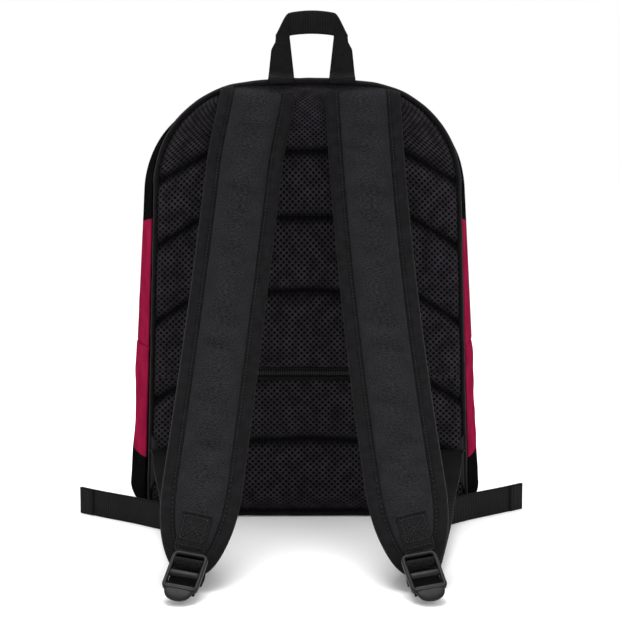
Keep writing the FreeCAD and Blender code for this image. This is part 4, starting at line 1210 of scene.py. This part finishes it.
def strap_pad(hand):
    """The padded face: a closed cushion, crowned above, flat beneath."""

    def place(u, v):
        angle = 2 * math.pi * u
        share = shaped(math.cos(angle), 0.7)
        t = mix(strap_start(hand, (STRAP_TOP_HALF - EDGE_TAPE) * share), STRAP_END - EDGE_TAPE, v)
        across = strap_half(t, EDGE_TAPE) * share
        top = math.sin(angle) >= 0
        full = strap_full(t)
        arc = abs(math.sin(angle))
        if top:
            rise = full * (0.0016 + 0.0047 * arc**0.62 + strap_dent(hand, t, share) * arc)
        else:
            rise = full * (0.0016 - 0.002 * arc**0.5)
        return strap_spot(hand, t, across, rise)

    return place


def strap_under(hand):
    """The mesh on the wearer's side: a flat closed cushion."""

    def place(u, v):
        angle = 2 * math.pi * u
        share = shaped(math.cos(angle), 0.6)
        t = mix(strap_start(hand, (STRAP_TOP_HALF - 0.008) * share) + 0.002, STRAP_END - 0.010, v)
        across = strap_half(t, 0.008) * share
        full = strap_full(t)
        rise = full * (-0.0018 - (0.004 * abs(math.sin(angle)) ** 0.6 if math.sin(angle) < 0 else 0))
        return strap_spot(hand, t, across, rise)

    return place


def edge_run(hand, v, inset):
    """Along a strap's edge, down one side, round the end and up the other: t and across."""
    side = -1 if v < 0.5 else 1
    first = strap_start(hand, side * (STRAP_TOP_HALF - inset))
    straight = STRAP_END - STRAP_TIP
    turn = 0.18
    if v < 0.5 - turn / 2:
        t = mix(first, straight, v / (0.5 - turn / 2))
        return t, -(mix(STRAP_TOP_HALF, STRAP_LOW_HALF, t / STRAP_END) - inset)
    if v > 0.5 + turn / 2:
        t = mix(first, straight, (1 - v) / (0.5 - turn / 2))
        return t, mix(STRAP_TOP_HALF, STRAP_LOW_HALF, t / STRAP_END) - inset
    angle = math.pi * (v - 0.5 + turn / 2) / turn
    power = 2 / TIP_POWER
    t = straight + (STRAP_TIP - inset) * math.sin(angle) ** power
    half = mix(STRAP_TOP_HALF, STRAP_LOW_HALF, t / STRAP_END) - inset
    return t, -half * shaped(math.cos(angle), power)


thread = Finish("sewing_thread", 0.55, Specular_IOR_Level=0.2)
uneven = thread.cloudy(thread.spot(), 400)
thread.colour(thread.blend(uneven.held(0.3, 0.7), dye(10, 10, 11), dye(30, 30, 32)))
thread.relief(thread.cloudy(thread.spot(), 2500), 0.0002, 0.5)


def sew(bm, path, count, length, width=0.0007, height=0.0005):
    """A row of stitches: path(share) gives a point on the cloth and the way it faces."""
    for i in range(count):
        middle, facing = path((i + 0.5) / count)
        ahead, _ = path(min((i + 0.6) / count, 1.0))
        run = (ahead - middle).normalized()
        across = facing.cross(run).normalized()
        brick(bm, middle, (run, across, run.cross(across)), (length, width, height))


def sewn(bm, name, body):
    """Rounds the stitches off and puts the rows on their body."""
    ease_edges(bm, bm.edges[:], 0.0002, 1)
    fit(bm, name, thread, body)


STITCH_IN = 0.0108


def strap_edge(hand):
    """The tape over the edge: from the groove beside the face, round the edge, to the mesh."""

    def place(u, v):
        if u < 0.5:
            share = u / 0.5
            inset = EDGE_TAPE * (1 - share) + 0.0002
            rise = 0.0030 * math.sin(math.pi * mix(0.22, 0.5, ease(share * 1.6))) ** 0.9
            rise += 0.0006 * math.sin(math.pi * min(share * 1.1, 1))
            rise -= 0.0007 * math.exp(-(((inset - STITCH_IN) / 0.0011) ** 2))
            rise *= math.sqrt(max(1 - max((share - 0.8) / 0.2, 0) ** 2, 0))
        else:
            share = (u - 0.5) / 0.5
            inset = 0.0002 + 0.010 * share
            rise = -0.0034 * math.sqrt(1 - max(1 - share / 0.25, 0) ** 2)
        t, across = edge_run(hand, v, inset)
        full = 0.35 + 0.65 * strap_full(t)
        pucker = 0.00025 * math.sin(t / 0.0026) * math.exp(-(((inset - STITCH_IN) / 0.004) ** 2))
        return strap_spot(hand, t, across, rise * full + pucker)

    return place


def strap_row(hand, inset, rise):
    def path(share):
        t, across = edge_run(hand, share, inset)
        point = strap_spot(hand, t, across, rise * (0.35 + 0.65 * strap_full(t)))
        back = strap_spot(hand, t, across, 0)
        return point, (point - back).normalized()

    return path


for hand in ("left", "right"):
    body = f"strap_{hand}"
    pad = lay((56, 190), strap_pad(hand), (0, -1, 0), (0.09, 0.46), True)
    fit(
        pad, f"strap_{hand}_face", strap_twill, body,
        [f"strap_{hand}_pad", f"strap_{hand}_root"], 0,
    )
    under = lay((40, 150), strap_under(hand), (0, 1, 0), (0.112, 0.46), True)
    fit(
        under, f"strap_{hand}_underside", air_mesh, body,
        [f"strap_{hand}_mesh"], 0,
    )
    edge = lay((26, 420), strap_edge(hand), (0, -1, 0), (0.024, 0.98))
    bmesh.ops.recalc_face_normals(edge, faces=edge.faces[:])
    fit(
        edge, f"strap_{hand}_edge_tape", binding, body,
        [f"strap_{hand}_binding"], 0.0009,
    )
    rows = bmesh.new()
    sew(rows, strap_row(hand, STITCH_IN, 0.0030), 290, 0.0022)
    sewn(rows, f"strap_{hand}_edge_stitches", body)

# ---------------------------------------------------------------------------------------------
# Lock patches: a short length of webbing folded round each lock's top bar and sewn to the end of the
# strap with a boxed cross.

LOCK_LEAN, LOCK_ROLL = math.radians(55), math.radians(13)
LOCK_OUT, LOCK_HEIGHT = 0.2535, 0.032
PATCH_HALF = 0.0125


def lock_spot(hand, across, down, lift=0.0):
    """A point of the lock: across its bars, down from its top bar's middle, and off its face."""
    side = SIDES[hand]
    turn = -side * LOCK_ROLL
    x = across * math.cos(turn) - down * math.sin(turn)
    w = across * math.sin(turn) + down * math.cos(turn)
    pivot = Vector((side * SET[hand][2], BACK - LOCK_OUT, LOCK_HEIGHT))
    run = Vector((0, -math.sin(LOCK_LEAN), -math.cos(LOCK_LEAN)))
    face = Vector((0, -math.cos(LOCK_LEAN), math.sin(LOCK_LEAN)))
    return pivot + Vector((x, 0, 0)) + run * w + face * lift


PATCH_TOP, PATCH_FOOT = 0.426, 0.459


def smooth_line(points, share):
    """A point on a smooth line through the points, each a tuple of numbers."""
    count = len(points) - 1
    place = min(share, 0.999999) * count
    i = int(place)
    f = place - i
    picked = [points[max(min(i + k, count), 0)] for k in (-1, 0, 1, 2)]
    out = []
    for a, b, c, d in zip(*picked):
        slope, bend, turn = c - a, 2 * a - 5 * b + 4 * c - d, 3 * b - a - 3 * c + d
        out.append(0.5 * (2 * b + slope * f + bend * f**2 + turn * f**3))
    return out


PATCH_LEAN = 0.16


def patch_spot(hand, across, t, rise):
    """A point of the patch, set a little askew on the strap."""
    side = SIDES[hand]
    drift = across + side * 0.1 * (t - PATCH_TOP)
    return strap_spot(hand, t - side * across * PATCH_LEAN, drift, rise)


def patch_rise(t):
    return 0.0063 * strap_full(t)


# from the strap's end the patch dives under the lock's rim, rounds its first bar and turns back:
# how far down the lock, how far off its middle
TUCKED = (
    (-0.0015, -0.0030), (0.0030, -0.0034), (0.0060, 0.0012),
    (0.0092, 0.0036), (0.0122, 0.0012), (0.0136, -0.0028),
)


def patch_place(hand):
    """The patch over the strap's end, and then on round the lock's first bar."""

    def place(u, v):
        across = mix(-PATCH_HALF, PATCH_HALF, u)
        if v < 0.62:
            t = mix(PATCH_TOP, PATCH_FOOT, v / 0.62)
            rise = patch_rise(t) + 0.0014 - 0.0006 * (across / PATCH_HALF) ** 2
            return patch_spot(hand, across, t, rise)
        share = (v - 0.62) / 0.38
        start = patch_spot(hand, across, PATCH_FOOT, patch_rise(PATCH_FOOT) + 0.0008)
        down, lift = smooth_line(TUCKED, share)
        return start.lerp(lock_spot(hand, across * 0.94, down, lift), ease(share / 0.25))

    return place


patch_cloth = Finish("patch_twill", 0.85, Sheen_Weight=0.02, Specular_IOR_Level=0.06)
spot = patch_cloth.cloth_spot()
rough_nap = patch_cloth.cloudy(spot, 700, 3.0)
patch_cloth.colour(patch_cloth.blend(rough_nap.held(0.36, 0.66), dye(5, 5, 5), dye(32, 32, 34)))
patch_cloth.relief(rough_nap, 0.0006, 0.9)


def patch_fold(hand):
    """The turned edge along the top of the patch."""

    def path(v):
        across = mix(-PATCH_HALF - 0.0004, PATCH_HALF + 0.0004, v)
        point = patch_spot(hand, across, PATCH_TOP, patch_rise(PATCH_TOP) + 0.0014)
        return point, Vector((0, 1, 0)), Vector((0, 0, 1))

    return path


def patch_row(hand, start, end):
    """A row of the patch's stitches between two places, each (across, down the strap)."""

    def path(share):
        across, t = mix(start[0], end[0], share), mix(start[1], end[1], share)
        point = patch_spot(hand, across, t, patch_rise(t) + 0.0016)
        return point, (point - patch_spot(hand, across, t, 0)).normalized()

    return path


PATCH_STITCH = 0.0019
BOX_LOW, BOX_HIGH, BOX_HALF = PATCH_TOP + 0.004, PATCH_FOOT - 0.008, PATCH_HALF - 0.003
CORNERS = ((-BOX_HALF, BOX_LOW), (BOX_HALF, BOX_LOW), (BOX_HALF, BOX_HIGH), (-BOX_HALF, BOX_HIGH))
BOXED_CROSS = [(CORNERS[i], CORNERS[(i + 1) % 4], 9) for i in range(4)] + [
    (CORNERS[0], CORNERS[2], 12),
    (CORNERS[1], CORNERS[3], 12),
    ((-BOX_HALF, PATCH_FOOT - 0.003), (BOX_HALF, PATCH_FOOT - 0.003), 9),
]
for hand in SIDES:
    patch = lay((20, 80), patch_place(hand), (0, -1, 0.5), (WEB, 0.06))
    fit(
        patch, f"strap_{hand}_lock_patch", patch_cloth, f"strap_{hand}",
        [f"strap_{hand}_patch"], 0.0012,
    )
    folded = lay((8, 20), cord_round(patch_fold(hand), 0.0011), (0, -1, 0), (0.008, WEB), True)
    fit(folded, f"strap_{hand}_patch_edge", strap_twill, f"strap_{hand}")
    rows = bmesh.new()
    for start, end, count in BOXED_CROSS:
        sew(rows, patch_row(hand, start, end), count, PATCH_STITCH)
    sewn(rows, f"strap_{hand}_patch_stitches", f"strap_{hand}")

# ---------------------------------------------------------------------------------------------
# Ladder locks: moulded acetal frames with an upper bar in the patch, a middle bar and a lower bar for
# the webbing, and a rounded tab to lift them by.

moulded = Finish("moulded_acetal", 0.45, Specular_IOR_Level=0.16)
spot = moulded.spot()
grain = moulded.cloudy(spot, 2600, 3.0)
wear = moulded.cloudy(spot, 220, 3.0)
moulded.colour(moulded.blend(wear.held(0.35, 0.7), dye(8, 8, 8), dye(16, 16, 17)))
moulded.rough(0.3 + wear * 0.25)
moulded.relief(grain, 0.0001, 0.35)

LOCK_HALF, LOCK_LONG, LOCK_THICK, LOCK_TURN, RAIL, BAR = 0.015, 0.039, 0.005, 0.0034, 0.0034, 0.006


def bar_between(bm, hand, top, low, thick, lift, round_by):
    """One eased bar across a lock, between two places down it."""
    half = LOCK_HALF - RAIL * 0.7
    made = bmesh.ops.create_cube(bm, size=1)["verts"]
    edges = list({edge for vert in made for edge in vert.link_edges})
    for vert in made:
        across, down, off = vert.co + Vector((0.5, 0.5, 0))
        vert.co = Vector((mix(-half, half, across), mix(top, low, down), off * thick + lift))
    rounds = ease_edges(bm, edges, round_by, 3)["faces"]
    for vert in {v for face in rounds for v in face.verts} | {v for v in made if v.is_valid}:
        vert.co = lock_spot(hand, *vert.co)


def lock_ring(hand):
    """The outer frame: one smooth rounded bar all round."""

    def place(u, v):
        half, length = LOCK_HALF - RAIL / 2, LOCK_LONG - RAIL
        across, down = rounded_square(v, half, length / 2, LOCK_TURN)
        ahead = rounded_square((v + 0.002) % 1.0, half, length / 2, LOCK_TURN)
        run = Vector((ahead[0] - across, ahead[1] - down)).normalized()
        angle = 2 * math.pi * u
        out = shaped(math.cos(angle), 0.6) * RAIL / 2
        lift = shaped(math.sin(angle), 0.6) * LOCK_THICK / 2
        return lock_spot(hand, across + run.y * out, LOCK_LONG / 2 + down - run.x * out, lift)

    return place


TAB_HALF, TAB_LONG, TAB_POWER = 0.0118, 0.0098, 2.3


def thumb_tab(hand):
    """A flat tab with a half round end, a little proud of the lower bar."""

    def place(u, v):
        angle = 2 * math.pi * u
        down = v ** 0.6 if v > 0 else 0.0
        half = TAB_HALF * (1 - down**TAB_POWER) ** (1 / TAB_POWER)
        across = half * shaped(math.cos(angle), 0.5)
        lift = shaped(math.sin(angle), 0.5) * 0.0018 * (1 - 0.5 * down**4)
        return lock_spot(hand, across, LOCK_LONG - 0.002 + (TAB_LONG + 0.002) * down, lift + 0.0004)

    return place


THREAD_RUN = (
    (0.0135, -0.0046), (0.0180, -0.0042), (0.0240, -0.0040),
    (0.0290, -0.0036), (0.0330, -0.0042), (0.0375, -0.0044),
)


def threading(hand):
    """Webbing behind the middle bar and under the lower one."""

    def place(u, v):
        down, lift = smooth_line(THREAD_RUN, v)
        half = LOCK_HALF - RAIL * 0.8
        return lock_spot(hand, mix(-half, half, u), down, lift)

    return place


for hand in SIDES:
    bm = lay((16, 96), lock_ring(hand), (0, -1, 0), (0.01, 0.12), True)
    bar_between(bm, hand, 0.0066, 0.0118, LOCK_THICK * 0.86, 0, 0.0016)
    bar_between(bm, hand, LOCK_LONG / 2 - 0.0004, LOCK_LONG / 2 + BAR, LOCK_THICK * 0.9, 0.0006, 0.0020)
    bar_between(bm, hand, LOCK_LONG - BAR, LOCK_LONG - 0.0006, LOCK_THICK * 0.9, 0, 0.0018)
    bmesh.ops.recalc_face_normals(bm, faces=bm.faces[:])
    fit(
        bm, f"ladder_lock_{hand}_frame", moulded, f"ladder_lock_{hand}",
        [f"ladder_lock_{hand}"],
    )
    thumb = lay((40, 24), thumb_tab(hand), (0, -1, 0), (0.024, 0.012), True)
    fit(thumb, f"ladder_lock_{hand}_tab", moulded, f"ladder_lock_{hand}")
    threaded = lay((12, 60), threading(hand), (0, -1, 0), (WEB, 0.06))
    fit(
        threaded, f"ladder_lock_{hand}_webbing", webbing, f"ladder_lock_{hand}", (), 0.0012,
    )

# ---------------------------------------------------------------------------------------------
# Adjusting webbing: sewn into the side seam under a small triangle of binding cloth, it runs forward
# to the lock and back behind it, and its free tail lies along the floor and stands on its edge.


RIPPLE = 0.0006


def behind_lock(points, hand):
    """Draws the points in the lock's reach in behind the lock of that side."""
    near = SET[hand][2] + 0.0055
    return [(mix(p[0], near, ease((p[1] - 0.18) / 0.06)), *p[1:]) for p in points]


def ribbon(points, hand):
    """Webbing along points of (off the middle, out from the back, height, twist in degrees)."""

    def place(u, v):
        here = off, out, height, twist = smooth_line(points, v)
        if v < 0.99:
            start, end = here, smooth_line(points, min(v + 0.004, 1.0))
        else:
            start, end = smooth_line(points, 0.985), here
        run = Vector((end[0] - start[0], start[1] - end[1], end[2] - start[2])).normalized()
        flat = run.cross(Vector((0, 0, 1))).normalized()
        angle = math.radians(twist)
        width = flat * math.cos(angle) + run.cross(flat) * math.sin(angle)
        point = Vector((off, BACK - out, height)) + width * mix(-WEB / 2, WEB / 2, u)
        point += run.cross(width) * RIPPLE * math.sin(v * 19 + off * 30)
        return Vector((SIDES[hand] * point.x, point.y, point.z))

    return place


WEB_RUN = (
    (0.140, -0.002, 0.0655, 0), (0.136, 0.006, 0.0625, 4), (0.132, 0.030, 0.050, 4),
    (0.125, 0.062, 0.036, 3), (0.116, 0.125, 0.0275, 0), (0.106, 0.190, 0.0190, 0),
    (0.098, 0.245, 0.0120, 0), (0.096, 0.262, 0.0105, 0),
)
# where each tail stands up on its edge and where it ends: off the middle, out from the back
TAILS = {
    "left": ((0.112, 0.0715), (0.220, -0.013)),
    "right": ((0.108, 0.0572), (0.210, -0.030)),
}
TAIL_STAND = WEB / 2 + 0.0004
FOLD_LONG, FOLD_OFF = 0.017, 0.0016
WEB_WALL = 0.0014


def tail_points(hand):
    """A tail's line: from the lock along the floor, up on its edge, and out to its end."""
    (near, near_out), (far, far_out) = TAILS[hand]
    return (
        (0.096, 0.246, 0.0040, 0), (0.097, 0.215, 0.0016, 0), (0.100, 0.170, 0.0016, 2),
        (0.103, 0.130, 0.0030, 12), (near - 0.010, near_out + 0.030, 0.0088, 45),
        (near + 0.004, near_out - 0.002, TAIL_STAND, 84),
        (mix(near, far, 0.33), mix(near_out, far_out, 0.33), TAIL_STAND, 90),
        (mix(near, far, 0.66), mix(near_out, far_out, 0.66), TAIL_STAND, 90),
        (far, far_out, TAIL_STAND, 90),
    )


def folded_end(hand):
    """The tail's end, turned back on itself."""
    (near, near_out), (far, far_out) = TAILS[hand]
    run = Vector((far - near, far_out - near_out)).normalized()
    toward = Vector((-run.y, run.x)) * FOLD_OFF
    lift = toward if toward.y > 0 else -toward

    def place(u, v):
        reach = FOLD_LONG * v
        off, out = far - run.x * reach, far_out - run.y * reach
        height = TAIL_STAND + mix(-WEB / 2, WEB / 2, u)
        return Vector((SIDES[hand] * (off + lift.x), BACK - (out + lift.y), height))

    return place


def fold_row(place):
    """The stitches across the turned end."""

    def path(share):
        return place(mix(0.08, 0.92, share), 0.72) + Vector((0, -0.0002, 0)), Vector((0, -1, 0))

    return path


for hand, side in SIDES.items():
    strap_run = ribbon(behind_lock(WEB_RUN, hand), hand)
    strap_run = lay((14, 120), strap_run, (0, -0.3, 1), (WEB, 0.28))
    seam, lock = (side * 0.134, BACK - 0.012, 0.060), (side * 0.098, BACK - 0.235, 0.016)
    bends = ("bag", f"strap_{hand}", seam, lock)
    name = f"adjusting_webbing_{hand}"
    fit(strap_run, name, webbing, bends, [f"webbing_{hand}"], WEB_WALL)

    tail = ribbon(behind_lock(tail_points(hand), hand), hand)
    tail = lay((14, 170), tail, (0, -1, 0.4), (WEB, 0.33))
    lead, loose = (side * 0.100, -0.30, 0.01), (side * 0.110, -0.15, 0.01)
    bends = (f"strap_{hand}", f"tail_{hand}", lead, loose)
    stands_for = [f"tail_lead_{hand}", f"webbing_tail_{hand}"]
    fit(tail, f"free_tail_{hand}", webbing, bends, stands_for, WEB_WALL)

    fold_spot = folded_end(hand)
    fold = lay((10, 12), fold_spot, (0, -1, 0), (WEB, FOLD_LONG))
    fit(fold, f"tail_{hand}_folded_end", webbing, f"tail_{hand}", (), WEB_WALL)
    rows = bmesh.new()
    sew(rows, fold_row(fold_spot), 10, 0.0017)
    sewn(rows, f"tail_{hand}_end_stitches", f"tail_{hand}")

plain = Finish("tab_cloth", 0.85, Sheen_Weight=0.03, Specular_IOR_Level=0.15)
u, v, _ = plain.parts(plain.cloth_spot())
cross = u.wave(0.0012) * v.wave(0.0012)
plain.colour(plain.blend(cross.held(-1, 1), dye(20, 19, 21), dye(32, 31, 34)))
plain.relief(cross, 0.0002, 0.6)


def side_tab(side, low, high):
    """A narrow triangle of cloth along the side seam, between two heights."""

    def place(u, v):
        z = mix(low, high, v)
        reach = 0.008 * min(v / 0.24, (1 - v) / 0.15, 1)
        edge = bag_spot(1, share_at(max(z, 0.02), BACK), BACK, -0.0035).x
        depth = BACK - 0.0018 - 0.0012 * math.sin(math.pi * u)
        return Vector((side * (edge - reach * u), depth, z))

    return place


for hand, side in SIDES.items():
    low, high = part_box(f"web_tab_{hand}")
    triangle = lay((8, 30), side_tab(side, low.z, high.z), (0, -1, 0), (0.008, 0.053))
    fit(triangle, f"side_tab_{hand}", plain, "bag", [f"web_tab_{hand}"], 0.001)

# ---------------------------------------------------------------------------------------------
# Sliders and pulls: die-cast sliders painted black, each with a bridge over its body and a long tab
# that flips on it.

painted = Finish("black_paint", 0.32, Metallic=0.0, Coat_Weight=0.4, Coat_Roughness=0.2)
spot = painted.spot()
# lighter, rougher patches where the black paint is worn
lighter_patches = painted.cloudy(spot, 700, 3.0)
painted.colour(painted.blend(lighter_patches.held(0.45, 0.8), dye(14, 14, 15), dye(44, 44, 46)))
painted.rough(0.25 + lighter_patches * 0.25)
painted.relief(painted.cloudy(spot, 1800), 0.0001, 0.3)


def eased_block(bm, low, high, round_by):
    """A box between two corners with its edges rounded."""
    low, high = Vector(low), Vector(high)
    size = Matrix.Diagonal((*(high - low), 1))
    place = Matrix.Translation((low + high) / 2) @ size
    made = bmesh.ops.create_cube(bm, size=1, matrix=place)["verts"]
    edges = list({edge for vert in made for edge in vert.link_edges})
    ease_edges(bm, edges, round_by, 3)


def slider(name, body, run, up, out):
    """A slider over its coil: run is its zip's axis, up the axis off the cloth, out its sense."""
    low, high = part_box(name)
    across = 3 - run - up
    bm = bmesh.new()
    base_low, base_high = low.copy(), high.copy()
    (base_high if out > 0 else base_low)[up] = mix(low[up], high[up], 0.5)
    eased_block(bm, base_low, base_high, 0.0008)
    bridge_low, bridge_high = low.copy(), high.copy()
    middle, half = (low[across] + high[across]) / 2, 0.0013
    bridge_low[across], bridge_high[across] = middle - half, middle + half
    bridge_low[run], bridge_high[run] = mix(low[run], high[run], 0.14), mix(low[run], high[run], 0.86)
    eased_block(bm, bridge_low, bridge_high, 0.0009)
    fit(bm, f"{name}_body", painted, body, [name])


def pull(name, body, along, thin):
    """A pull tab: a frame round a slot with a grip beyond it; along is its long axis."""
    low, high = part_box(name)
    wide = 3 - along - thin
    bm = bmesh.new()
    near_low, near_high = low.copy(), high.copy()
    far_low, far_high = low.copy(), high.copy()
    # the end by the slider is a loop of two sides and a cross piece; the rest is a solid grip
    split = mix(high[along], low[along], 0.36)
    far_high[along] = split
    eased_block(bm, far_low, far_high, 0.00045)
    near_low[along] = split - 0.0006
    for start, end in ((0.0, 0.26), (0.74, 1.0)):
        side_low, side_high = near_low.copy(), near_high.copy()
        side_low[wide] = mix(low[wide], high[wide], start)
        side_high[wide] = mix(low[wide], high[wide], end)
        eased_block(bm, side_low, side_high, 0.0004)
    cross_low = near_low.copy()
    cross_low[along] = high[along] - 0.0015
    eased_block(bm, cross_low, near_high, 0.0004)
    fit(bm, f"{name}_tab", painted, body, [name])


X, Y, Z = 0, 1, 2
for hand in SIDES:
    slider(f"main_slider_{hand}", f"main_slider_{hand}", X, Z, 1)
    pull(f"main_pull_{hand}", f"main_pull_{hand}", Y, Z)
slider("pocket_slider", "pocket_slider", X, Y, 1)
pull("pocket_pull", "pocket_pull", Z, Y)
slider("hidden_slider", "hidden_slider", X, Y, -1)
pull("hidden_pull", "hidden_pull", Z, Y)
